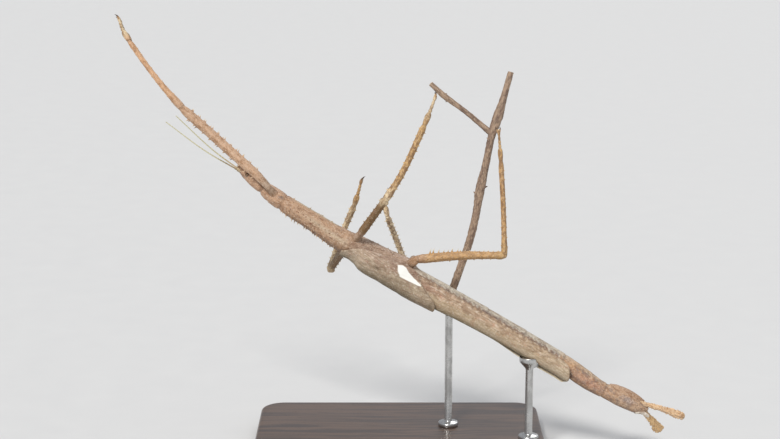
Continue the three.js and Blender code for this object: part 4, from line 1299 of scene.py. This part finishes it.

# %% [markdown]
# ## Hind wings: colour
# The flank is brown and veined, and the back paler and papery, with painted shade in darker olive
# along the ridge, which faces down. Where the two ridges meet, the far one shows a pale painted
# highlight on its rim behind a dark slit of painted shadow.

# %% Hind wings
WING_BEIGE, WING_BROWN, WING_PALE = (0.55, 0.42, 0.275), (0.57, 0.42, 0.29), (0.6, 0.5, 0.36)
WING_PINK, WING_SHADED_OLIVE, WING_DARK = (0.5, 0.3, 0.21), (0.36, 0.3, 0.19), (0.3, 0.2, 0.13)
RIM_HIGHLIGHT = (0.75, 0.64, 0.46)


def wing_tint(station, angle, far):
    turn = fold(angle)
    return layered(
        # darker olive along the ridge over the back, which faces down: partly painted shade
        WING_SHADED_OLIVE,
        (WING_BEIGE, ramp(turn, 5, 38)),
        (WING_BROWN, ramp(turn, 50, 72) * (1 - 0.55 * ramp(station, 118, 145))),
        (WING_PALE, 0.6 * bump(turn, 34, 14) * ramp(station, 104, 128)),
        (WING_PINK, 0.75 * bump(station, 92, 5) * bump(turn, 78, 16)),
        (WING_DARK, 0.75 * ramp(frayed(station, angle, 26, 7), 92, 103)),
        (WING_PALE, 0.45 * ramp(station, 144, 158)),
        # painted highlight along the far wing's ridge, where its rim would catch the light
        (RIM_HIGHLIGHT, 0.85 * far * (1 - ramp(turn, 6, 13)) * ramp(station, 118, 130)))


def wing_mark(station, angle):
    return np.clip(0.45 + 0.5 * ramp(fold(angle), 42, 62) - 0.25 * ramp(station, 132, 156), 0, 1)


def wing_groove(station, angle, far):
    # painted shadow in the slit beside the far wing, and painted shade at the wing's end
    gap_shadow = (1 - far) * bump(fold(angle), 3.4, 1.8) * ramp(station, 122, 134)
    return 0.3 * ramp(station, 160, 161) + 0.9 * gap_shadow


wing_stations = np.arange(WING_FRONT, WING_END + 0.01, WING_STEP)
for name, side, far in (("hind_wing_right", 1, 0), ("hind_wing_left", -1, 1)):
    wing = Skin()
    plate(
        wing, wing_stations, one_side(side, lambda s: wing_table(s)[1]),
        lambda s, a: wing_middle(s, a, far) + wing_veins(s, a),
        lambda s, a: wing_middle(s, a, far) - 0.75 * WING_THICK, 64,
        lambda s, a: wing_tint(s, a, far), mark=wing_mark, groove=lambda s, a: wing_groove(s, a, far))
    wing.piece(name, hind_wing_skin, "wing", name)

# %% [markdown]
# ## Forewings: the white spot
# Each forewing carries one sharp white spot at its flank edge. The spot is a polygon in station and
# degrees, softened over a fraction of a millimetre, so it keeps its corners at any size.

# %% White spot
SPOT = np.array([
    (76.5, 100), (78.4, 106), (80.2, 104), (81.8, 95), (84.5, 86), (87, 79), (88.8, 75), (88.9, 70.5),
    (87.5, 68.5), (85, 68), (81.5, 68), (79.5, 69), (77.6, 82)])
SPOT_SOFT, WHITE = 0.16, (0.92, 0.91, 0.85)
DEGREE_LONG = 0.125  # millimetres round the shield in one degree


def spot_share(station, angle):
    """1 inside the white spot, 0 outside it."""
    x, y = station, fold(angle) * DEGREE_LONG
    corners = SPOT * (1, DEGREE_LONG)
    inside, near = np.zeros(x.shape, bool), np.full(x.shape, np.inf)
    for (x0, y0), (x1, y1) in zip(corners, np.roll(corners, -1, 0)):
        dx, dy = x1 - x0, y1 - y0
        inside ^= ((y0 > y) != (y1 > y)) & (x < dx * (y - y0) / (dy + 1e-12) + x0)
        t = np.clip(((x - x0) * dx + (y - y0) * dy) / (dx**2 + dy**2), 0, 1)
        near = np.minimum(near, np.hypot(x - x0 - t * dx, y - y0 - t * dy))
    return ramp(np.where(inside, near, -near), -SPOT_SOFT, SPOT_SOFT)


print("corners of the white spot:", len(SPOT))

# %% [markdown]
# ## Forewings: form
# The forewings are short leathery shields with a hump over the roots of the hind wings and a rounded
# end. They are laid over whatever is below: the thorax in front, and the hind wings behind.

# %% Form of the forewings
SHIELD_THICK = 1.0
shield_table = smooth([  # station, height over the body line at the back, flank edge in degrees
    (54, 5.5, 50), (57, 5.3, 78), (60, 5.8, 94), (63, 7.2, 102), (70, 7.8, 110), (80, 8.7, 117),
    (84, 9.1, 112), (88, 9.2, 84), (92, 9.1, 63), (95, 8.85, 53), (97.2, 8.4, 42), (98.2, 7.9, 28),
    (98.6, 7.5, 14),
])
SHIELD_VEINS = ((20, 34), (36, 58), (50, 82), (66, 100), (84, 112))  # degrees in front and behind
SHIELD_VEIN_HIGH, SHOULDER_HIGH = 0.09, 0.25
shield_stations = np.concatenate([np.arange(53.6, 97.0, 0.26), np.arange(97.0, 98.61, 0.13)])


def shield_inner(station, angle):
    on_wing = ramp(station, 58, 64)
    under = between(plain_reach(station, angle), wing_reach(station, angle) + VEIN_HIGH, on_wing)
    lift = np.maximum(0, shield_table(station)[0] - SHIELD_THICK - under - WING_GAP)
    return under + WING_GAP + lift * np.maximum(0, np.cos(angle)) ** 2


def shield_outer(station, angle):
    turn, share = fold(angle), np.maximum((station - 54) / 44, 0)  # the first rings lie before 54
    raised = SHOULDER_HIGH * bump(station, 67, 3.5) * bump(turn, 0, 26)
    for k, (front, behind) in enumerate(SHIELD_VEINS):
        at = between(front, behind, share**1.3) * 0.82 + 1.2 * np.sin(0.3 * station + 1.7 * k)
        raised = raised + SHIELD_VEIN_HIGH * bump(turn, at, 1.5)
    return shield_inner(station, angle) + SHIELD_THICK + raised + 0.05 * ripple(station, angle, 9)


print("forewings:", round(float(np.ptp(shield_stations)), 1), "mm long")

# %% [markdown]
# ## Forewings: colour
# Olive over the back, grey along the side and mauve at the flank, with pale and dark patches where
# the real shield is worn or stained, and one small patch of painted shade beside its raised end. The
# patches are a table, so that each can be moved alone.

# %% Forewings
SHIELD_MAUVE, SHIELD_GREY, SHIELD_BEIGE = (0.42, 0.29, 0.21), (0.43, 0.34, 0.235), (0.5, 0.385, 0.27)
SHIELD_OLIVE, SHIELD_CREAM, SHIELD_DARK = (0.26, 0.205, 0.125), (0.66, 0.55, 0.4), (0.2, 0.14, 0.075)
SHIELD_PATCHES = [  # station, degrees, length, degrees across, how strong, colour
    (61.5, 86, 8.0, 34, 0.75, (0.64, 0.49, 0.37)), (71, 62, 5.0, 16, 0.5, (0.6, 0.46, 0.34)),
    (58.5, 84, 4.5, 16, 0.55, SHIELD_CREAM), (64.5, 75, 2.8, 5, 0.8, SHIELD_CREAM),
    (69.5, 60, 2.6, 7, 0.75, SHIELD_DARK), (61.0, 30, 3.0, 14, 0.6, SHIELD_CREAM),
    (75.0, 44, 3.0, 9, 0.45, SHIELD_DARK), (84.0, 40, 2.2, 9, 0.35, SHIELD_DARK),
    (72.0, 88, 3.5, 6, 0.35, SHIELD_CREAM), (87.5, 52, 2.5, 8, 0.35, SHIELD_CREAM),
    # the dark patch at station 95.8 is painted shade beside the raised end
    (95.8, 29, 0.8, 6, 0.8, SHIELD_DARK), (89.3, 70, 0.45, 3.5, 0.9, SHIELD_CREAM),
]


def shield_tint(station, angle):
    turn = fold(angle)
    return layered(
        SHIELD_OLIVE,
        (SHIELD_GREY, ramp(turn, 14, 44)),
        (SHIELD_MAUVE, ramp(frayed(station, angle, 30, 8), 62, 84)),
        (SHIELD_BEIGE, 0.6 * ramp(station, 84, 94)),
        *((patch, strong * bump(station, at, long) * bump(turn, degrees, wide))
          for at, degrees, long, wide, strong, patch in SHIELD_PATCHES),
        (WHITE, spot_share(station, angle)))


for name, side in (("forewing_right", 1), ("forewing_left", -1)):
    shield = Skin()
    # groove lays a line of painted shade along the flank edge towards the end.
    plate(
        shield, shield_stations, one_side(side, lambda s: shield_table(s)[1]), shield_outer,
        lambda s, a: shield_inner(s, a) + 0.3, 80, shield_tint,
        mark=lambda s, a: 0.4 + 0.5 * ramp(fold(a), 40, 80), spot=spot_share,
        groove=lambda s, a: 0.4 * bump(fold(a), shield_table(s)[1] - 1, 1.2) * ramp(s, 84, 90))
    shield.piece(name, forewing_skin, "wing", name)

# %% [markdown]
# ## Tail plate and flap
# Under the end of the abdomen a boat-shaped plate guards the egg-layer, and a small pale flap lies
# over the back. Both are plates on the body line, so they follow its section.

# %% Tail plate and flap
tail_table = smooth([  # station, half width of the plate in degrees round the belly
    (176.6, 26), (178, 46), (180, 62), (184, 69), (188, 61), (190.5, 46), (192, 28), (192.8, 12)])
flap_table = smooth([(190.6, 20), (192.5, 38), (194.8, 44), (196.2, 34), (196.8, 12)])
FLAP_TINT = (0.8, 0.74, 0.64)


def edges_round(middle, table):
    def edges(stations):
        half = np.radians(table(stations))
        return middle - half, middle + half
    return edges


def tail_outer(station, angle):
    """The plate swells towards the middle of the belly and thins out at its edges."""
    apart = (180 - fold(angle)) / tail_table(station)
    swell = (0.45 + 0.45 * ramp(station, 176.6, 180)) * (1 - 0.85 * ramp(apart, 0.4, 1))
    return plain_reach(station, angle) + 0.08 + swell + 0.09 * ripple(1.6 * station, angle, 14)


def flap_outer(station, angle):
    uneven = 0.12 * ripple(2.2 * station, 2 * angle, 3)
    return plain_reach(station, angle) + 0.5 + 0.55 * ramp(station, 192.5, 196) + uneven


tail_plate = Skin()
plate(
    tail_plate, np.arange(176.6, 192.81, 0.3), edges_round(np.pi, tail_table), tail_outer,
    lambda s, a: plain_reach(s, a) - 0.25, 48,
    lambda s, a: mix(TAIL_PINK, BEIGE, ramp(s, 178, 192)), mark=0.3)
tail_plate.piece("tail_plate", tail_skin, "body", "tail_plate")

flap = Skin()
plate(
    flap, np.arange(190.6, 196.81, 0.2), edges_round(0.0, flap_table), flap_outer,
    lambda s, a: plain_reach(s, a) - 0.1 + 0.3 * ramp(s, 192.5, 196), 30, FLAP_TINT, mark=0.1)
flap.piece("tail_flap", tail_skin, "body")

# %% [markdown]
# ## Tail paddles
# Two flat paddles point backward, with scalloped and lumpy edges like torn bark. A wave along the
# edge makes the scallops, and uneven ripples keep the two paddles from being alike.

# %% Tail paddles
PADDLES = {  # points, the way its flat edge faces, its growth, lumps and end colour
    "tail_paddle_right": (
        [(97.4, -12.9, 25.2), (107.2, -14.1, 22.7), (116.1, -15.7, 19.8)], (0.2, -0.2, 1.0),
        1.0, 0.3, (0.84, 0.58, 0.34)),
    # The left paddle's end colour is partly its real brighter apricot and partly painted light for the
    # shade it lies in.
    "tail_paddle_left": (
        [(100.0, -10.2, 20.6), (104.6, -5.5, 14.7), (108.9, 0.3, 8.4)], (0.8, -0.2, 0.6),
        1.15, 0.5, (1.0, 0.68, 0.33)),
}
paddle_size = smooth([  # share of its length, half height, half width
    (0, 0.95, 0.8), (0.2, 0.95, 0.72), (0.45, 1.2, 0.62), (0.7, 1.6, 0.6), (0.88, 1.9, 0.6),
    (1, 1.4, 0.45)])
SCALLOP = 1.7  # length of one scallop of the edge
PADDLE_ROOT = (0.62, 0.43, 0.25)

for number, (name, (points, flat, growth, lumpy, end_tint)) in enumerate(PADDLES.items()):
    line = Line(points, flat)

    def reach(w, a):
        height, width = paddle_size(w / line.long) * growth
        uneven = w + 0.35 * np.sign(np.cos(a)) + 0.8 * np.sin(1.1 * w + 2 * number)
        lobes = np.abs(np.sin(np.pi * uneven / SCALLOP)) ** 0.7
        fan = 1 + np.abs(np.cos(a)) ** 1.5 * (0.3 * lobes - 0.2) * ramp(w, 1.0, 4.5)
        lumps = ripple(3.2 * w, 2 * a, 40 + number) + 0.6 * ripple(5 * w, a, 30 + number)
        rib = 0.16 * bump(np.abs(np.sin(a)), 1, 0.25)
        return oval(a, height, width) * fan + rib + lumpy * lumps

    def tint(w, a):
        return layered(
            PADDLE_ROOT, (end_tint, ramp(w, 0, 7)), (CREAM, 0.6 * ramp(w, line.long - 2.2, line.long)))

    paddle = Skin()
    # groove lays painted shade where the paddle leaves the body.
    tube(
        paddle, line, rings(-1.2, line.long - 0.5, 0.14, 0.6, 0.8), 48, reach, tint, mark=0.25,
        groove=lambda w, a: 0.3 * bump(w, 0.4, 0.5))
    paddle.piece(name, tail_skin, "leg", name)

# %% [markdown]
# ## The twig's bark
# Bark of a young twig is mauve-brown and cracked along its length. The cracks are the same stretched
# cells as the wing's veins, and the cut ends show pale wood where *spot* is 1.

# %% Bark
def bark_finish():
    finish, graph = new_finish("bark")
    place = graph.attribute("straight", "Vector")
    cracks = graph.use(veins, Place=place, Length=3.4, Width=0.7, Line=0.16)
    broad = mottled(graph, place, 1.6, 3.0, 0.44, 0.62)
    pale = mottled(graph, place, 0.7, 1.6, 0.56, 0.66)
    years = graph.noise(graph.stretch(place, 0.1, 2.2, 2.2), 1.6, detail=2.0, rough=0.5)
    wood = graph.blend(years, (0.62, 0.47, 0.3), (0.5, 0.35, 0.2))
    color = graph.layers(
        graph.blend(broad, (0.41, 0.285, 0.195), (0.25, 0.165, 0.12)),
        ((0.55, 0.45, 0.33), pale, 0.7), ((0.1, 0.065, 0.05), cracks, 0.6),
        (wood, graph.attribute("spot")))
    rough = graph.use(grain, Place=place, Pit=0.5, Wrinkles=0.5)
    height = graph.math("SUBTRACT", rough, graph.times(cracks, 0.8))
    close_finish(graph, color, graph.soft(broad, 0, 1, 0.7, 0.85), height, 0.12)
    return finish


bark = bark_finish()
print("bark:", bark.name)

# %% [markdown]
# ## The twig
# A cut length of forked twig is the perch: a stem and one branch. Each is a slightly uneven tube
# with swollen knots where leaves grew. One end is cut flat, and the other is rounded and hidden.

# %% Twig
TWIG_TOP, BARK_TINT, TWIG_STEP = (1.0, 0.0, 0.0), (0.3, 0.2, 0.15), 0.3
TWIGS = {  # points, sizes, seed, is it cut first, and each knot's share, degrees, height and width
    "perch_stem": (
        [(45.5, 15.6, 157.3), (41.1, 12.8, 142.0), (37.8, 11.2, 131.9), (35.5, 10.8, 120.3),
         (33.1, 10.4, 109.1), (31.5, 10.3, 98.6), (29.1, 10.1, 88.0), (25.5, 10.3, 76.9),
         (20.2, 9.1, 61.8)],
        (1.25, 1.4, 2.1, 1.5, 1.55, 2.0, 1.6, 1.65, 1.6, 1.65, 1.65), 51, True,
        [(0.1, 60, 0.8, 0.8), (0.29, 200, 0.9, 0.9), (0.49, 20, 1.5, 1.0), (0.52, 190, 1.1, 0.9),
         (0.68, 100, 0.8, 0.7), (0.8, 300, 0.8, 0.8)]),
    "perch_branch": (
        [(37.8, 11.3, 132.3), (27.1, 12.7, 141.2), (17.7, 13.6, 148.1), (12.8, 14.6, 152.5)],
        (1.3, 1.1, 1.05, 1.25, 1.0), 57, False,
        [(0.3, 40, 0.7, 0.6), (0.72, 200, 0.9, 0.8), (0.78, 20, 0.9, 0.7)]),
}

for name, (points, sizes, seed, cut_first, knots) in TWIGS.items():
    line = Line(points, TWIG_TOP)
    size = smooth([(line.long * i / (len(sizes) - 1), half) for i, half in enumerate(sizes)])

    def reach(w, a):
        uneven = 0.09 * ripple(1.7 * w, a, seed) + 0.05 * ripple(5.0 * w, 2 * a, seed + 1)
        return size(w) * (1 + uneven) - 0.03

    if cut_first:  # a flat cut face with a slightly worn rim
        where, drawn = rings(0.0, line.long, TWIG_STEP, 0.0, 0.35)
        where, drawn = [0.0, 0.0, 0.02, *(where + 0.1)], [0.03, 0.85, 0.96, *drawn]
        cut_face = lambda w, a: 1 - ramp(w, 0.0, 0.09)
    else:
        where, drawn = rings(-0.6, line.long, TWIG_STEP, 0.5, 0.35)
        where, drawn = [*where, where[-1] + 0.01], [*drawn, 0.02]
        cut_face = lambda w, a: ramp(w, line.long, line.long + 0.2)
    twig = Skin()
    tube(twig, line, (where, drawn), 40, reach, BARK_TINT, spot=cut_face)
    for share, degrees, tall, wide in knots:
        at, angle = share * line.long, math.radians(degrees)
        thorn(
            twig, line, at, angle, reach(at, angle) - 0.35, (tall, wide, 0.8 * wide, 0.5), BARK_TINT,
            (at, tall, 0), around=14, pale=0, backward=True)
    twig.piece(name, bark, "bark", name)

# %% [markdown]
# ## Stand finishes
# The stand should not draw the eye, so its wood is dark and satin, and its rods are plain turned
# steel. Wood grain is noise stretched along the board and bent by a slower noise.

# %% Stand finishes
def base_finish():
    """Dark stained wood under a satin lacquer, with its grain along X."""
    finish, graph = new_finish("lacquered wood")
    place = graph.attribute("straight", "Vector")
    bent = graph.noise(graph.stretch(place, 0.012, 0.05, 0.05), 1.0, detail=2.0, out=1)
    shifted = graph.vector("ADD", place, graph.stretch(bent, 0, 14, 14))
    years = graph.noise(graph.stretch(shifted, 0.008, 0.22, 0.22), 1.6, detail=3.0)
    pores = mottled(graph, place, 0.35, 22.0, 0.58, 0.68)
    color = graph.blend(graph.soft(years, 0.38, 0.62), (0.05, 0.031, 0.022), (0.115, 0.068, 0.043))
    color = graph.layers(color, ((0.022, 0.014, 0.01), pores, 0.7))
    height = graph.math("SUBTRACT", graph.times(years, 0.3), pores)
    close_finish(graph, color, graph.soft(pores, 0, 1, 0.34, 0.5), height, 0.02, Coat_Weight=0.25)
    return finish


def steel_finish():
    """Steel with fine turning marks round the rod and a few dull smears."""
    finish, graph = new_finish("turned steel")
    place = graph.attribute("straight", "Vector")
    marks = graph.noise(graph.stretch(place, 9.0, 0.25, 0.25), 1.0)
    smears = mottled(graph, place, 3.0, 1.5, 0.45, 0.65)
    color = graph.blend(smears, (0.62, 0.62, 0.61), (0.5, 0.5, 0.49))
    roughness = graph.math("ADD", graph.soft(marks, 0.3, 0.7, 0.2, 0.34), graph.times(smears, 0.1))
    close_finish(graph, color, roughness, marks, 0.008, Metallic=1.0)
    return finish


base_wood, rod_steel = base_finish(), steel_finish()
print("stand finishes:", base_wood.name, rod_steel.name)

# %% [markdown]
# ## The base
# A flat board with rounded corners and an upper edge that is rounded over. Rings of one outline,
# each a little further in, keep the rounding even round the corners.

# %% Base
BASE_LONG, BASE_DEEP, BASE_THICK, BASE_CORNER, BASE_EDGE = 120.0, 84.0, 8.0, 10.0, 1.6
CORNER_POINTS = 14


def rounded_outline(inset):
    """Points round a rounded rectangle, clockwise from above."""
    points = []
    centre = np.array([BASE_LONG / 2 - BASE_CORNER, BASE_DEEP / 2 - BASE_CORNER])
    for quarter, corner in enumerate(((1, -1), (-1, -1), (-1, 1), (1, 1))):
        turn = np.radians(-90 * quarter - 90 * np.linspace(0, 1, CORNER_POINTS))
        arc = np.stack([np.cos(turn), np.sin(turn)], -1)
        points.append(corner * centre + (BASE_CORNER - inset) * arc)
    return np.vstack(points)


profile = [(0.0, 0.5), (0.15, 0.2), (0.5, 0.0)]  # height and inset, up the side and over the edge
profile += [
    (BASE_THICK - BASE_EDGE * (1 - math.sin(t)), BASE_EDGE * (1 - math.cos(t)))
    for t in np.radians(np.linspace(0, 90, 9))]
board = np.stack([np.insert(rounded_outline(inset), 2, height, axis=1) for height, inset in profile])
base = Skin()
base.grid(board, board, (0.08, 0.05, 0.03))
base.piece("stand_base", base_wood, "stand", "stand_base")

# %% [markdown]
# ## The rods
# One rod has a sleeve for the twig's cut end. The other ends in a cup, hollowed to the shape of the
# folded wings, just below the abdomen. Both are turned profiles whose corners are rounded a little.

# %% Rods
ROD, SLEEVE, SLEEVE_TALL, FOOT, FOOT_TALL = 1.6, 2.7, 9.0, 4.2, 1.6
STEM_ROD_AT, STEM_ROD_TOP = (20.6, 9.2), 65.4
BODY_ROD_STATION, CUP, CUP_TALL, CUP_OVER = 143.0, 4.2, 5.0, 1.6
ROUNDED, AROUND_ROD, ON_AXIS = 0.35, 48, 0.02


def turned(corners):
    """A turned profile of (radius, height) corners, each rounded a little by three points."""
    corners = np.array(corners, float)
    points = [corners[0]]
    for before, corner, after in zip(corners, corners[1:], corners[2:]):
        for step in (before - corner, after - corner):
            long = np.linalg.norm(step)
            points.append(corner + step / long * min(ROUNDED, long / 3))
        points.insert(-1, 0.5 * corner + 0.25 * (points[-1] + points[-2]))
    return np.array([*points, corners[-1]])


def post(name, x, y, corners, top=None):
    """A turned post on a foot. top(points) may lower the points of its upper end."""
    over_foot = BASE_THICK + FOOT_TALL
    foot = [(ON_AXIS, BASE_THICK), (FOOT, BASE_THICK), (FOOT, over_foot), (ROD, over_foot + 0.5)]
    radius, height = turned([*foot, *corners]).T[..., None]
    angle = -np.linspace(0, 2 * np.pi, AROUND_ROD, endpoint=False)
    points = np.stack([x + radius * np.cos(angle), y + radius * np.sin(angle), height + 0 * angle], -1)
    if top:
        points[..., 2] = top(points)
    straight = np.stack([points[..., 2], radius * np.cos(angle), radius * np.sin(angle)], -1)
    skin = Skin()
    skin.grid(points, straight, (0.6, 0.6, 0.6))
    skin.piece(name, rod_steel, "steel", name)


sleeve_low = STEM_ROD_TOP - SLEEVE_TALL
post("stand_rod_twig", *STEM_ROD_AT, [
    (ROD, sleeve_low), (SLEEVE, sleeve_low + 0.6), (SLEEVE, STEM_ROD_TOP), (1.75, STEM_ROD_TOP),
    (ON_AXIS, STEM_ROD_TOP - 0.6)])

ridge_at = BODY_LINE.around(BODY_ROD_STATION, 0.0, wing_reach(BODY_ROD_STATION, 0.0))
cup_top = ridge_at[2] + CUP_OVER
cup_bottom = cup_top - CUP_TALL


def clear_of_wings(points):
    """Lowers the cup's upper points, by halving, until they lie just outside the folded wings."""
    origin, along, top, side = BODY_LINE.axes(BODY_ROD_STATION)
    x, y, height = np.moveaxis(points, -1, 0)
    low, high = height - 9.0, height
    for _ in range(30):
        z = (low + high) / 2
        away = np.stack([x, y, z], -1) - origin
        up, across = away @ top, away @ side
        wall = wing_reach(BODY_ROD_STATION + away @ along, np.arctan2(across, up)) + WING_GAP
        outside = np.hypot(across, up) > wall
        low, high = np.where(outside, z, low), np.where(outside, high, z)
    lowered = np.minimum(height, np.maximum(low, height - 8.9))
    return np.where(height > cup_bottom, lowered, height)


cup_rim = [(radius, cup_top) for radius in (CUP, 3.6, 3.0, 2.4, 1.8, 1.2, 0.6, ON_AXIS)]
post("stand_rod_body", *ridge_at[:2], [
    (ROD, cup_bottom), (CUP, cup_bottom + 0.6 * CUP_TALL), *cup_rim], top=clear_of_wings)
print("cup under the wings at", ridge_at.round(1))

# %% [markdown]
# ## Floor
# A wide pale floor fills the view behind the model. It only stages the object, and a very faint
# noise keeps it from looking like a flat colour.

# %% Floor
FLOOR_HALF = 6.0  # metres
corners = [(FLOOR_HALF * x, FLOOR_HALF * y, 0) for x, y in ((-1, -1), (1, -1), (1, 1), (-1, 1))]
floor_mesh = bpy.data.meshes.new("floor")
floor_mesh.from_pydata(corners, [], [(0, 1, 2, 3)])
floor = add_object("floor", floor_mesh)
floor_finish, graph = new_finish("pale floor")
tone = graph.noise(graph.add("ShaderNodeTexCoord")["Object"], 60.0, detail=3.0, rough=0.5)
color = graph.blend(tone, (0.66, 0.66, 0.655), (0.7, 0.7, 0.69))
close_finish(graph, color, graph.soft(tone, 0.3, 0.7, 0.75, 0.85), tone, 0.02)
floor_mesh.materials.append(floor_finish)
print("floor:", 2 * FLOOR_HALF, "m wide")

# %% [markdown]
# ## Light
# The floor has to be evenly lit, so the lamps are of the far kind, whose light is the same
# everywhere. One from the front left shapes the body, and a weaker one from behind draws a thin
# bright edge. The pale world opens the shadows.

# %% Light
def far_lamp(name, place, soft_degrees, power, tone=(1, 1, 1)):
    """A lamp so far away that its light is even. soft_degrees is how wide it looks from here."""
    data = bpy.data.lights.new(name, "SUN")
    data.angle, data.energy, data.color = math.radians(soft_degrees), power, tone
    made = add_object(name, data)
    made.location = place
    x, y, z = place
    made.rotation_euler = (math.atan2(math.hypot(x, y), z), 0.0, math.atan2(x, -y))
    print(name, "lamp:", power)


far_lamp("key", (-0.35, -0.85, 0.95), 14.0, 2.4, (1.0, 0.98, 0.95))
far_lamp("rim", (0.3, 0.9, 0.9), 30.0, 0.7)
world = bpy.data.worlds.new("world")
world.use_nodes = True
sky = world.node_tree.nodes["Background"].inputs
sky["Color"].default_value, sky["Strength"].default_value = (0.9, 0.93, 1.0, 1.0), 0.42
bpy.context.scene.world = world
bpy.context.scene.view_settings.view_transform = "Standard"
